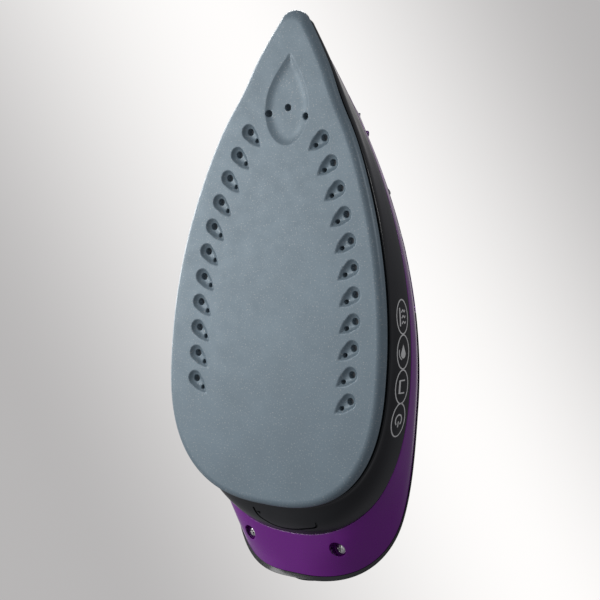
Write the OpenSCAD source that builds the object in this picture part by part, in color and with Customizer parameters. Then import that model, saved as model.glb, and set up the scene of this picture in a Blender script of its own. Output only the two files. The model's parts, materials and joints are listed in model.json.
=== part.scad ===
// Steam iron: soleplate, steam heater, skirt, body, water tank and loop handle.
// Frame: +Y is the tip, +Z is up, the sole's ironing face is the plane z = 0.

/* [Overall] */
// Length from the sole's tip to the heel rest
overall_l = 273; // [265:1:281]
// Length of the sole
sole_l = 230; // [224:1:236]
// Width of the sole at its widest
sole_w = 117.8; // [112:0.2:122]
// Thickness of the sole casting
sole_t = 5; // [4.5:0.1:5.5]

/* [Body] */
// Height of the black skirt's top edge along the sides
skirt_h = 27; // [26:0.5:28]
// Height of the coloured body's top edge along the sides
belt_h = 47; // [46:0.5:48]
// Height of the flat deck under the handle
deck_h = 60; // [59.5:0.5:60.5]
// Wall of the moulded shells
wall = 2.4; // [2:0.1:2.6]

/* [Steam holes] */
// Number of recesses down each side of the sole
vents_per_side = 11; // [7:1:11]
// Distance between neighbouring recesses
vent_pitch = 12.2; // [12:0.1:13]
// Radius of the large steam hole in each recess
vent_r = 1.6; // [1.2:0.1:1.8]
// Radius of the small steam hole in each recess
vent_small_r = 1.05; // [0.8:0.05:1.2]
// Depth of the recesses
vent_depth = 1.7; // [1:0.1:2]

/* [Controls] */
// Radius of the temperature dial
dial_r = 19; // [16:0.5:20]
// Radius of the steam and spray buttons
button_r = 5.6; // [5:0.1:5.8]
// Travel of the steam and spray buttons
button_travel = 3; // [2:0.5:3]
// Radius of the steam selector knob
selector_r = 7; // [6:0.5:7.5]

/* [Cord inlet] */
// Radius of the hole that takes the cord
cord_hole_r = 3.3; // [3:0.1:3.6]

/* [Fit] */
// Gap between shells that meet
seam = 0.3; // [0.2:0.05:0.4]
// Radial clearance of a shaft in its bore
run_fit = 0.05; // [0.03:0.01:0.08]

/* [Hidden] */
$fn = 48;

tip_y = overall_l / 2;
heel_y = -overall_l / 2;
sole_rear_y = tip_y - sole_l;
nose_steps = 4;
flank_steps = 14;
rear_steps = 15;
side_n = nose_steps + flank_steps + rear_steps;
ring_n = 2 * side_n;

// ---- outline of one level of the iron ------------------------------------
// A level is [tip, widest y, rear, half width, nose radius, rear roundness, waist]
function nose_angle(c) = atan(2 * c[3] / (c[0] - c[1] + 0.7 * c[4]));
function apex(c) = c[0] + c[4] * (1 / sin(nose_angle(c)) - 1);
function flank(c, y) = c[3] * (1 - pow((y - c[1]) / (apex(c) - c[1]), 2))
    - c[6] * exp(-pow((y - waist_y) / 12, 2));
function nose_end(c) = c[0] - c[4] + c[4] * sin(nose_angle(c));
function half_outline(c) = concat(
    [for (i = [0:nose_steps - 1]) let (a = i / nose_steps * (90 - nose_angle(c)))
        [c[4] * sin(a), c[0] - c[4] + c[4] * cos(a)]],
    [for (i = [0:flank_steps]) let (y = nose_end(c) + (c[1] - nose_end(c)) * i / flank_steps)
        [flank(c, y), y]],
    [for (i = [1:rear_steps]) let (a = 90 * i / rear_steps)
        [i == rear_steps ? 0 : c[3] * pow(cos(a), 2 / c[5]),
         c[1] + (c[2] - c[1]) * pow(sin(a), 2 / c[5])]]);
function outline(c) = let (h = half_outline(c)) concat(h,
    [for (i = [side_n - 1:-1:1]) [-h[i][0], h[i][1]]]);
// The same level drawn in by d all round
function inset(c, d) = [c[0] - 1.5 * d, c[1], c[2] + d, c[3] - d,
    max(c[4] - 0.5 * d, 1.5), c[5], c[6]];

// ---- levels from the sole up to the deck ---------------------------------
waist_y = 97;
sole_c = [tip_y, -25.5, sole_rear_y, sole_w / 2, 8, 2.6, 1.4];
hem_c = [tip_y - 2.7, -25.5, sole_rear_y - 0.6, sole_w / 2 - 0.3, 7, 2.6, 0.8];
hem_z = 8;
ledge_c = [tip_y - 8.4, -29.5, sole_rear_y - 10, sole_w / 2 + 0.5, 4, 2.5, 0];
skirt_c = [tip_y - 16, -33, sole_rear_y - 16.4, sole_w / 2 + 0.4, 3, 2.34, 0];
bulge_c = [tip_y - 25.4, -38, heel_y + 14, sole_w / 2 - 1.6, 4, 2.35, 0];
belt_c = [tip_y - 35.4, -45, heel_y + 5.4, sole_w / 2 - 6.5, 5, 3.2, 0];
rim_c = [tip_y - 35.4, -45, heel_y + 3.2, sole_w / 2 - 6.2, 5, 3.2, 0];
deck1_c = [tip_y - 39.9, -45, heel_y + 3.7, sole_w / 2 - 10.2, 5, 2.9, 0];
deck2_c = [tip_y - 43.4, -45, heel_y + 4.5, sole_w / 2 - 13.9, 5, 3, 0];
deck3_c = [tip_y - 45.4, -45, heel_y + 6, sole_w / 2 - 16.9, 5, 3.2, 0];
deck1_z = belt_h + 6;
deck2_z = deck_h - 2.5;

function smooth(t) = let (s = min(max(t, 0), 1)) s * s * (3 - 2 * s);
heel_bend_y = heel_y + 36;
function arc_drop(y, reach) = 1 - sqrt(max(1 - pow(max(heel_bend_y - y, 0) / reach, 2), 0));
// Heights of the seam curves, which dip towards the heel
function ledge_z(y) = 17 - 1.5 * smooth((-80 - y) / 25);
function skirt_z(y) = skirt_h - 3.5 * smooth((-88 - y) / 20);
function bulge_z(y) = (skirt_h + belt_h) / 2 - 8.5 * smooth((-92 - y) / 30);
function belt_z(y) = belt_h - 18 * arc_drop(y, 30.9);
function rim_z(y) = belt_h + 0.4 - 18.9 * arc_drop(y, 33.1);
function ring(c, z) = [for (p = outline(c)) [p[0], p[1], z]];
function ledge_ring(d, lift) = [for (p = outline(inset(ledge_c, d)))
    [p[0], p[1], ledge_z(p[1]) + lift]];
function skirt_ring(d, lift) = [for (p = outline(inset(skirt_c, d)))
    [p[0], p[1], skirt_z(p[1]) + lift * smooth((-70 - p[1]) / 30)]];
function bulge_ring(d, lift) = [for (p = outline(inset(bulge_c, d)))
    [p[0], p[1], bulge_z(p[1]) + lift * smooth((-80 - p[1]) / 30)]];
function belt_ring(d, lift) = [for (p = outline(inset(belt_c, d)))
    [p[0], p[1], belt_z(p[1]) + lift]];
function rim_ring(d, lift) = [for (p = outline(inset(rim_c, d)))
    [p[0], p[1], rim_z(p[1]) + lift]];

// ---- surfaces through rings of equal length ------------------------------
function band(a, b, n) = [for (i = [0:n - 1]) let (j = (i + 1) % n)
    each [[a + i, a + j, b + j], [a + i, b + j, b + i]]];
// Cap of a mirrored ring, as strips across the iron
function cap(a, n) = [for (i = [0:n / 2 - 1])
    let (l = (n - i) % n, m = n - i - 1)
    each (i == 0 ? [[a, a + 1, a + m]]
        : i == n / 2 - 1 ? [[a + i, a + i + 1, a + l]]
        : [[a + i, a + i + 1, a + m], [a + i, a + m, a + l]])];
function flip(f) = [for (t = f) [t[2], t[1], t[0]]];
// Solid through rings listed upwards
module loft(rings) {
    n = len(rings[0]);
    last = (len(rings) - 1) * n;
    polyhedron([for (r = rings) each r],
        concat(cap(last, n), flip(cap(0, n)),
            [for (k = [0:len(rings) - 2]) each band(k * n, (k + 1) * n, n)]));
}
// Open sleeve: outer rings upwards, inner rings downwards
module sleeve(rings) {
    n = len(rings[0]);
    k = len(rings);
    polyhedron([for (r = rings) each r],
        [for (i = [0:k - 1]) each band(i * n, ((i + 1) % k) * n, n)]);
}
// Cup open below: outer rings downwards to the mouth, inner rings upwards
module cup(rings) {
    n = len(rings[0]);
    last = (len(rings) - 1) * n;
    polyhedron([for (r = rings) each r],
        concat(cap(0, n), flip(cap(last, n)),
            [for (k = [0:len(rings) - 2]) each flip(band(k * n, (k + 1) * n, n))]));
}
module plate(c, z, h) {
    translate([0, 0, z]) linear_extrude(h) polygon(outline(c));
}
module post(x, y, z, r, h) {
    translate([x, y, z]) cylinder(r = r, h = h);
}
module block(x, y, z, size) {
    translate([x - size[0] / 2, y - size[1] / 2, z]) cube(size);
}

// ---- sole and heater -----------------------------------------------------
// Large holes lie on a shallow arc down each side, small ones behind them
vent_arc_r = 188;
vent_arc_y = tip_y - 146.5;
vent_front_a = 28.4;
vent_out = sole_w / 2 - 16;
function vent_pos(i) = let (a = vent_front_a - i * vent_pitch / vent_arc_r * 57.3)
    [vent_out - vent_arc_r * (1 - cos(max(a, 0))),
     vent_arc_y + (a > 0 ? vent_arc_r * sin(a) : vent_arc_r * a / 57.3)];
function vent_small(i) = vent_pos(i) - [4.1, 3.9];
module teardrop(r, reach, sides = 20) {
    // round at the origin, pointed at distance reach along +X, its flanks bent outwards
    knee = 0.565 * reach;
    a0 = acos(r / norm([knee, 0.264 * reach])) + atan(0.264 / 0.565);
    polygon(concat([[reach, 0], [knee, 0.264 * reach]],
        [for (i = [0:sides]) let (a = a0 + (360 - 2 * a0) * i / sides) r * [cos(a), sin(a)]],
        [[knee, -0.264 * reach]]));
}
tip_holes = [[0, tip_y - 44.5], [10.1, tip_y - 47.9], [-10.1, tip_y - 47.9]];
leaf_front = tip_y - 19;
leaf_rear = tip_y - 62;
leaf_half = 12;
function leaf(n = 16) = concat(
    [for (i = [0:n - 1]) let (t = i / n)
        [leaf_half * sin(90 * t), leaf_front - (leaf_front - leaf_rear) * 0.6 * t]],
    [for (i = [0:n]) let (a = 90 * i / n)
        [leaf_half * cos(a), leaf_rear + (leaf_front - leaf_rear) * 0.4 * (1 - sin(a))]]);
module leaf_shape() {
    h = leaf();
    polygon(concat(h, [for (i = [len(h) - 2:-1:1]) [-h[i][0], h[i][1]]]));
}
module each_vent() {
    for (s = [-1, 1], i = [0:vents_per_side - 1])
        mirror([s < 0 ? 1 : 0, 0, 0]) let (p = vent_pos(i)) children_at(p, i);
}
module children_at(p, i) {
    translate([p[0], p[1], 0]) rotate(180 + 42) vent_cut();
}
module vent_cut() {
    translate([0, 0, -1]) linear_extrude(vent_depth + 1) teardrop(3.8, 10);
    translate([0, 0, -1]) cylinder(r = vent_r, h = sole_t + 2, $fn = 16);
    translate([5.6, 0, -1]) cylinder(r = vent_small_r, h = sole_t + 2, $fn = 16);
}
module soleplate() {
    rim_r = 3;
    color("slategray") difference() {
        loft([for (i = [0:3]) let (a = 90 * i / 3)
                ring(inset(sole_c, rim_r * (1 - sin(a))), rim_r * (1 - cos(a))),
            ring(sole_c, sole_t - 0.6), ring(inset(sole_c, 0.6), sole_t)]);
        each_vent();
        translate([0, 0, -1]) linear_extrude(1.9) leaf_shape();
        for (p = tip_holes) post(p[0], p[1], -1, vent_r, sole_t + 2, $fn = 16);
    }
}
heater_c = inset(sole_c, 6.3);
heater_z = sole_t + 0.05;
heater_h = 9;
heater_top = heater_z + heater_h;
coil_x = 25;
coil_front = 44;
coil_rear = -72;
coil_r = 3.8;
coil_z = heater_top - 1.5;
module element_tube(r) {
    for (s = [-1, 1])
        translate([s * coil_x, coil_rear, coil_z]) rotate([-90, 0, 0])
            cylinder(r = r, h = coil_front - coil_rear);
    translate([0, coil_front, coil_z]) rotate_extrude(angle = 180)
        translate([coil_x, 0]) circle(r);
}
chamber_screw_at = [[16, -60], [16, 0], [14, 42], [-16, -60], [-16, 0], [-14, 42]];
module heater_casting() {
    color("silver") difference() {
        plate(heater_c, heater_z, heater_h);
        element_tube(coil_r + 0.1);
        for (s = [-1, 1]) block(s * coil_x, coil_rear - 8, coil_z - 5, [9, 17, 20]);
        // steam labyrinth between the legs of the element
        for (y = [-46, -26, 14, 30]) block(0, y, heater_top - 5, [24, 8, 6]);
        block(0, -8, heater_top - 5, [7, 76, 6]);
        for (p = chamber_screw_at) post(p[0], p[1], heater_top - 6, 1.9, 7);
        for (p = skirt_screw_at) post(p[0], p[1], heater_top - 7, 2, 8);
    }
}
module heating_element() {
    color("dimgray") {
        element_tube(coil_r);
        for (s = [-1, 1]) {
            translate([s * coil_x, coil_rear - 9, coil_z]) rotate([-90, 0, 0])
                cylinder(r = 2.6, h = 9.5);
            translate([s * coil_x, coil_rear - 9, coil_z]) sphere(2.6);
            post(s * coil_x, coil_rear - 9, coil_z, 2.2, 10);
        }
    }
}
cover_c = [62, -25, -68, 19.6, 6, 4, 0];
module chamber_seal() {
    color("firebrick") difference() {
        plate(cover_c, heater_top + 0.02, 0.9);
        plate(inset(cover_c, 6.8), heater_top - 1, 3);
        for (p = chamber_screw_at) post(p[0], p[1], heater_top - 1, 2.1, 4);
    }
}
seal_top = heater_top + 0.95;
cover_top = seal_top + 1.5;
valve_y = 44;
module chamber_cover() {
    color("lightgray") difference() {
        plate(cover_c, seal_top, 1.5);
        for (p = chamber_screw_at) post(p[0], p[1], seal_top - 1, 2.1, 4);
        post(0, valve_y, seal_top - 1, 2.5, 4);
    }
}
module chamber_screws() {
    color("gainsboro") for (p = chamber_screw_at) difference() {
        union() {
            post(p[0], p[1], cover_top + 0.02, 3.3, 2);
            post(p[0], p[1], heater_top - 5.5, 1.85, 8);
        }
        translate([p[0], p[1], cover_top + 1.2]) {
            block(0, 0, 0, [4, 0.8, 2]);
            block(0, 0, 0, [0.8, 4, 2]);
        }
    }
}
dial_y = -38;
shaft_r = 3;
module thermostat() {
    z = cover_top + 0.05;
    color("goldenrod") difference() {
        union() {
            post(0, dial_y, z, 11, 1.6);
            post(0, dial_y, z, 7.5, 9);
            block(0, dial_y - 9, z, [9, 22, 5]);
            for (s = [-1, 1]) block(s * 2.6, dial_y - 22, z + 2, [2.4, 10, 0.8]);
        }
        post(0, dial_y, z + 2.5, shaft_r + run_fit, 10);
    }
}
fuse_y = -78;
module thermal_fuse() {
    z = heater_top + 3.8;
    color("ivory") {
        translate([-13, fuse_y, z]) rotate([0, 90, 0]) cylinder(r = 3, h = 26);
        for (s = [-1, 1]) translate([s * 13, fuse_y, z]) rotate([0, 90 * s, 0])
            cylinder(r = 0.7, h = 5);
        difference() {
            block(0, fuse_y, heater_top + 0.03, [9, 14, 8]);
            block(0, fuse_y, heater_top + 1.5, [12, 11.5, 5]);
        }
    }
}

// ---- skirt ---------------------------------------------------------------
skirt_screw_at = [[0, 86], [40, -58], [-40, -58]];
skirt_floor_z = 19;
module skirt() {
    color([0.05, 0.05, 0.055]) difference() {
        union() {
            sleeve([ring(hem_c, hem_z), ring(hem_c, hem_z + 2.5),
                ledge_ring(0, 0), skirt_ring(0, 0),
                skirt_ring(wall, 0), ledge_ring(wall + 0.6, 2.6),
                ring(inset(hem_c, wall + 0.6), hem_z + 3.2),
                ring(inset(hem_c, wall), hem_z)]);
            difference() {
                plate(inset(ledge_c, 2.2), skirt_floor_z, 2);
                plate(inset(ledge_c, 17), skirt_floor_z - 1, 4);
            }
            for (p = skirt_screw_at) post(p[0], p[1], heater_top + 0.05, 4.6, 7);
            block(0, 92, skirt_floor_z, [18, 16, 2]);
            for (s = [-1, 1]) block(s * 42, -55, skirt_floor_z, [12, 14, 2]);
        }
        for (p = skirt_screw_at) post(p[0], p[1], heater_top - 1, 2.1, 20);
        for (s = [-1, 1]) post(s * coil_x, coil_rear - 9, heater_top, 3.6, 20);
    }
}
module skirt_screws() {
    color("gainsboro") for (p = skirt_screw_at) {
        post(p[0], p[1], skirt_floor_z + 2.1, 3.8, 2.2);
        post(p[0], p[1], heater_top - 6, 1.9, skirt_floor_z + 8.2 - heater_top);
    }
}

// ---- coloured body -------------------------------------------------------
heel_screw_x = 24.9;
heel_screw_y = heel_y + 21.7;
heel_well_z = 33;
well_r = 3.7;
module body_shell() {
    color([0.36, 0.08, 0.52]) difference() {
        union() {
            sleeve([skirt_ring(-0.1, seam), bulge_ring(0, 0), belt_ring(0, 0),
                belt_ring(wall, -0.5), bulge_ring(wall, wall), skirt_ring(wall, wall + seam)]);
            intersection() {
                for (s = [-1, 1]) post(s * heel_screw_x, heel_screw_y, 20, well_r + 1.8, 18.5);
                loft([skirt_ring(0.4, 0.9), bulge_ring(0.6, 0.6), belt_ring(0.6, -0.5)]);
            }
        }
        for (s = [-1, 1]) {
            post(s * heel_screw_x, heel_screw_y, 10, well_r, heel_well_z - 10);
            post(s * heel_screw_x, heel_screw_y, 10, 1.75, 40);
        }
    }
}
module heel_screws() {
    color("silver") for (s = [-1, 1]) difference() {
        union() {
            post(s * heel_screw_x, heel_screw_y, heel_well_z - 1.9, 2.9, 1.85);
            post(s * heel_screw_x, heel_screw_y, heel_well_z - 1, 1.5, 15);
        }
        translate([s * heel_screw_x, heel_screw_y, heel_well_z - 3]) {
            block(0, 0, 0, [3.2, 0.8, 2]);
            block(0, 0, 0, [0.8, 3.2, 2]);
        }
    }
}

// ---- water tank ----------------------------------------------------------
tank_rear_y = 0;
tank_floor_z = 31;
tank_c = inset(bulge_c, 9);
module front_part(y) {
    intersection() {
        children();
        translate([-100, y, 0]) cube([200, 200, 200]);
    }
}
module rear_part(y) {
    intersection() {
        children();
        translate([-100, y - 200, 0]) cube([200, 200, 200]);
    }
}
tank_top_z = belt_h - 2.4;
module tank_base() {
    color([0.8, 0.82, 0.85]) difference() {
        front_part(tank_rear_y + 4) plate(tank_c, tank_floor_z, tank_top_z - tank_floor_z);
        front_part(tank_rear_y + 4 + wall)
            plate(inset(tank_c, wall), tank_floor_z + wall, 30);
        post(0, valve_y, tank_floor_z - 1, 3, 6);
    }
}
module tank_seal() {
    color("black") difference() {
        front_part(tank_rear_y + 4.3) plate(inset(tank_c, 0.3), tank_top_z + 0.02, 1.2);
        front_part(tank_rear_y + 4 + wall) plate(inset(tank_c, wall), tank_floor_z, 30);
    }
}
upper_rings = [ring(deck3_c, deck_h), ring(deck2_c, deck2_z), ring(deck1_c, deck1_z),
    rim_ring(0, 0.8), rim_ring(0, 0), belt_ring(0.1, seam),
    belt_ring(wall, seam - 0.4), rim_ring(wall + 1, 2.4),
    ring(inset(deck1_c, wall), deck1_z - 1), ring(inset(deck2_c, wall), deck2_z - 1.4),
    ring(inset(deck3_c, wall), deck_h - wall)];
filler_y = 72;
filler_r = 6.5;
lid_pin_y = 81.4;
lid_pin_z = deck_h + 1.9;
rod_r = 2;
feed_x = 8;
feed_y = 36;
module water_tank() {
    color([0.72, 0.5, 0.85, 0.55]) difference() {
        union() {
            front_part(tank_rear_y + seam / 2) cup(upper_rings);
            difference() {
                front_part(tank_rear_y + 4.3)
                    plate(inset(tank_c, 0.3), tank_top_z + 1.25, 6.2);
                front_part(tank_rear_y + 4 + wall)
                    plate(inset(tank_c, wall), tank_top_z, 10);
            }
            block(0, tank_rear_y + 5.2, deck1_z - 3, [88, 2, deck_h - deck1_z + 2]);
            for (s = [-1, 1]) block(s * 6.3, lid_pin_y, deck_h - 1, [1.8, 3.2, 4.2]);
        }
        post(0, filler_y, deck_h - 10, filler_r, 20);
        post(0, valve_y, deck_h - 10, rod_r + run_fit, 20);
        translate([-20, lid_pin_y, lid_pin_z]) rotate([0, 90, 0])
            cylinder(r = 0.9, h = 40, $fn = 24);
        post(0, nozzle_y, deck_h - 10, 1.6, 20);
        for (s = [-1, 1]) post(s * feed_x, feed_y, deck_h - 10, 1.6, 20);
    }
}
seat_z = cover_top + 0.05;
module valve_seat() {
    color("orange") difference() {
        union() {
            post(0, valve_y, seat_z, 6, tank_floor_z - 0.1 - seat_z);
            post(0, valve_y, seat_z, 2.9, tank_floor_z + 3 - seat_z);
        }
        post(0, valve_y, seat_z - 1, 0.9, 40);
        post(0, valve_y, seat_z + 6, rod_r + 0.2, 40);
    }
}
rod_top = deck_h + 9;
module valve_rod() {
    color("white") {
        post(0, valve_y, seat_z + 8, rod_r, rod_top - seat_z - 8);
        translate([0, valve_y, seat_z + 6.1]) cylinder(r1 = 1.1, r2 = rod_r, h = 1.9);
        post(0, valve_y, rod_top - 3, 4, 1.5);
    }
}

// ---- rear of the upper body ----------------------------------------------
cover_half_w = 13.5;
cover_mid_z = 68;
cover_half_h = 30;
cover_face_y = heel_y + 0.8;
cover_inner_y = heel_y + 6.8;
module cover_oval(grow) {
    polygon([for (a = [0:7.5:359]) [(cover_half_w + grow) * cos(a),
        cover_mid_z + (cover_half_h + grow) * sin(a)]]);
}
module along_y(y0, y1) {
    translate([0, y1, 0]) rotate([90, 0, 0]) linear_extrude(y1 - y0) children();
}
module rear_screw_holes() {
    for (z = cover_screw_z) translate([0, heel_y, z]) rotate([-90, 0, 0])
        cylinder(r = 1.55, h = 16);
}
module upper_housing() {
    color([0.06, 0.06, 0.065]) difference() {
        union() {
            rear_part(tank_rear_y - seam / 2) cup(upper_rings);
            for (s = [-1, 1]) post(s * heel_screw_x, heel_screw_y, 38.8, 4.5, 20);
            post(0, dial_y, deck_h - 8, 6, 7);
            block(0, heel_y + 12.5, 44, [10, 5, deck_h - 45]);
        }
        for (s = [-1, 1]) post(s * heel_screw_x, heel_screw_y, 30, 1.55, 21);
        post(0, dial_y, deck_h - 10, shaft_r + run_fit, 20);
        along_y(heel_y - 5, cover_inner_y + seam) cover_oval(seam);
        block(0, -114, deck_h - 6, [16, 10, 12]);
        rear_screw_holes();
    }
}
cover_screw_z = [cover_mid_z - 19, cover_mid_z + 17];
module rear_cover() {
    color([0.06, 0.06, 0.065]) difference() {
        along_y(cover_face_y, cover_inner_y) cover_oval(0);
        along_y(cover_face_y + wall, cover_inner_y + 1) cover_oval(-wall);
        for (z = cover_screw_z) translate([0, heel_y - 1, z]) rotate([-90, 0, 0]) {
            cylinder(r = 1.7, h = 20);
            cylinder(r = 3, h = 3);
        }
        for (z = pad_z, s = [-1, 1]) translate([s * pad_x(z), heel_y - 1, z])
            rotate([-90, 0, 0]) cylinder(r = 2.3, h = 2.6);
    }
}
pad_z = [cover_mid_z - 17, cover_mid_z + 14];
function pad_x(z) = z < cover_mid_z ? 6.5 : 7;
module heel_pads() {
    color("dimgray") for (z = pad_z, s = [-1, 1]) translate([s * pad_x(z), heel_y, z])
        rotate([-90, 0, 0]) cylinder(r = 2.25, h = 1.55);
}
module rear_cover_screws() {
    color("silver") for (z = cover_screw_z) translate([0, heel_y + 1, z])
        rotate([-90, 0, 0]) {
            cylinder(r = 2.8, h = 0.95);
            cylinder(r = 1.5, h = 12);
        }
}

// ---- handle --------------------------------------------------------------
// Centre line of the loop, each row [y, z, half width, half thickness]
handle_pts = [[44, deck_h - 8, 21, 18], [43, deck_h + 6, 17.5, 17], [35.5, deck_h + 18, 14.8, 16],
    [19.5, deck_h + 33.7, 13.2, 13.7], [-14, deck_h + 46, 15, 12.6], [-60, deck_h + 49, 16, 13],
    [-100, deck_h + 44.5, 16, 13], [-118, deck_h + 27, 17, 12], [-121, deck_h + 8, 21, 12],
    [-121, deck_h - 8, 23, 12]];
function knot(p, i) = p[min(max(i, 0), len(p) - 1)];
function curve(p, u) = let (i = floor(u), t = u - i, a = knot(p, i - 1), b = knot(p, i),
        c = knot(p, i + 1), d = knot(p, i + 2))
    0.5 * (2 * b + (c - a) * t + (2 * a - 5 * b + 4 * c - d) * t * t
        + (3 * b - a - 3 * c + d) * t * t * t);
function heading(p, u) = let (d = curve(p, min(u + 0.05, len(p) - 1.001))
        - curve(p, max(u - 0.05, 0))) [d[0], d[1]] / norm([d[0], d[1]]);
// Ring of the handle at u, from angle a0 to a1, grown by g outside and shrunk by w inside
function handle_pt(u, a, g) = let (c = curve(handle_pts, u), d = heading(handle_pts, u))
    [(c[2] + g) * cos(a), c[0] + (c[3] + g) * sin(a) * d[1], c[1] - (c[3] + g) * sin(a) * d[0]];
arc_steps = 12;
function channel(u, a0, a1, g, w) = concat(
    [for (i = [0:arc_steps]) handle_pt(u, a0 + (a1 - a0) * i / arc_steps, g)],
    [for (i = [arc_steps:-1:0]) handle_pt(u, a0 + (a1 - a0) * i / arc_steps, g - w)]);
function strip_cap(a) = [for (i = [0:arc_steps - 1]) let (j = 2 * arc_steps + 1 - i)
    each [[a + i, a + i + 1, a + j - 1], [a + i, a + j - 1, a + j]]];
module handle_channel(u0, u1, a0, a1, g, w, steps) {
    rings = [for (k = [0:steps]) channel(u0 + (u1 - u0) * k / steps, a0, a1, g, w)];
    n = len(rings[0]);
    polyhedron([for (r = rings) each r],
        concat(strip_cap(0), flip(strip_cap(steps * n)),
            [for (k = [0:steps - 1]) each flip(band(k * n, (k + 1) * n, n))]));
}
handle_end = len(handle_pts) - 1.001;
module below_deck() {
    translate([-100, -200, 0]) cube([200, 400, deck_h + seam]);
}
steam_y = 7;
spray_y = 23;
steam_top = 116.4;
spray_top = 110.6;
button_hole = button_r + 0.3;
selector_at = [0, 51.5, 85.5];
selector_tilt = 32;
module on_selector() {
    translate(selector_at) rotate([selector_tilt - 90, 0, 0]) children();
}
lamp_y = -84;
// The outer half of the handle is a nose, a top and a tail, split at these places
nose_u = 3.75;
tail_u = 6.1;
split_gap = 0.004;
module handle_outside(u0, u1, steps) {
    handle_channel(u0, u1, 1, 179, 0, wall, steps);
}
module handle_nose() {
    color([0.06, 0.06, 0.065]) difference() {
        handle_outside(0, nose_u - split_gap, 13);
        below_deck();
        post(0, steam_y, 96, button_hole, 30);
        post(0, spray_y, 96, button_hole, 30);
        on_selector() {
            translate([0, 0, -0.5]) cylinder(r = selector_r + 0.6, h = 20);
            translate([0, 0, -20]) cylinder(r = 2 + run_fit, h = 30);
        }
    }
}
module handle_top() {
    color([0.06, 0.06, 0.065]) difference() {
        handle_outside(nose_u + split_gap, tail_u - split_gap, 9);
        post(0, lamp_y, 112, 4.1, 20);
    }
}
module handle_tail() {
    color([0.06, 0.06, 0.065]) difference() {
        handle_outside(tail_u + split_gap, handle_end, 11);
        below_deck();
        along_y(heel_y - 5, cover_inner_y + seam) cover_oval(seam);
        gland_frame() cylinder(r = gland_r + run_fit, h = 40, center = true);
        rear_screw_holes();
    }
}
module handle_frame() {
    color([0.06, 0.06, 0.065]) difference() {
        handle_channel(0, handle_end, 181, 359, 0, wall, 30);
        below_deck();
    }
}
module handle_grip() {
    color([0.12, 0.12, 0.13]) handle_channel(3.5, 6.1, 205, 335, 1.5, 1.35, 14);
}

// ---- buttons, pumps and valve --------------------------------------------
module button(y, top, stem) {
    dome = 1.5;
    post(0, y, top - 8, button_r, 8 - dome);
    translate([0, y, top - dome]) cylinder(r1 = button_r, r2 = button_r - 1.6, h = dome);
    post(0, y, top - 8 - stem, 1.4, stem + 1);
    post(0, y, top - 8 - stem, 2.4, 1.5);
}
module spring(y, z, h, r) {
    turns = 4;
    wire = 0.45;
    n = 40 * turns / 4;
    function coil(i, k) = let (a = 360 * turns * i / n, b = 60 * k)
        [(r + wire * cos(b)) * cos(a), y + (r + wire * cos(b)) * sin(a),
         z + wire + (h - 2 * wire) * i / n + wire * sin(b)];
    polyhedron([for (i = [0:n], k = [0:5]) coil(i, k)],
        concat([[5, 4, 3, 2, 1, 0]], [[for (k = [0:5]) n * 6 + k]],
            [for (i = [0:n - 1]) each band(i * 6, (i + 1) * 6, 6)]));
}
pump_r = 4.8;
outlet_z = 2.8;
outlet_reach = 6.8;
module pump(y, z, h, turn) {
    difference() {
        post(0, y, z, pump_r, h);
        post(0, y, z + pump_bore, 2.5, h);
    }
    translate([0, y, z + outlet_z]) rotate([-90, 0, turn]) translate([0, 0, 3])
        cylinder(r = 1.4, h = outlet_reach - 3);
}
// A point at a reach from a pump's axis, in line with its outlet
function off_outlet(y, z, turn, reach) =
    [-reach * sin(turn), y + reach * cos(turn), z + outlet_z];
outlet_turn = 45;
steam_stem = 7.5;
spray_stem = 12;
spring_h = 7;
pump_bore = 4.5;
// The stem's foot stops just above the floor of the pump's bore
function pump_z(top, stem) = top - 8 - stem - button_travel - pump_bore - 0.8;
steam_pump_z = pump_z(steam_top, steam_stem);
spray_pump_z = pump_z(spray_top, spray_stem);
module spray_button() {
    color("dimgray") button(spray_y, spray_top, spray_stem);
}
module steam_button() {
    color("dimgray") button(steam_y, steam_top, steam_stem);
}
steam_pump_h = steam_top - 8 - spring_h - 0.1 - steam_pump_z;
spray_pump_h = spray_top - 8 - spring_h - 0.1 - spray_pump_z;
module spray_pump() { color("white") pump(spray_y, spray_pump_z, spray_pump_h, outlet_turn); }
module steam_pump() { color("white") pump(steam_y, steam_pump_z, steam_pump_h, -outlet_turn); }
module spray_spring() {
    color("silver") spring(spray_y, spray_top - 8 - spring_h, spring_h, 3.6);
}
module steam_spring() {
    color("silver") spring(steam_y, steam_top - 8 - spring_h, spring_h, 3.6);
}
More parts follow.
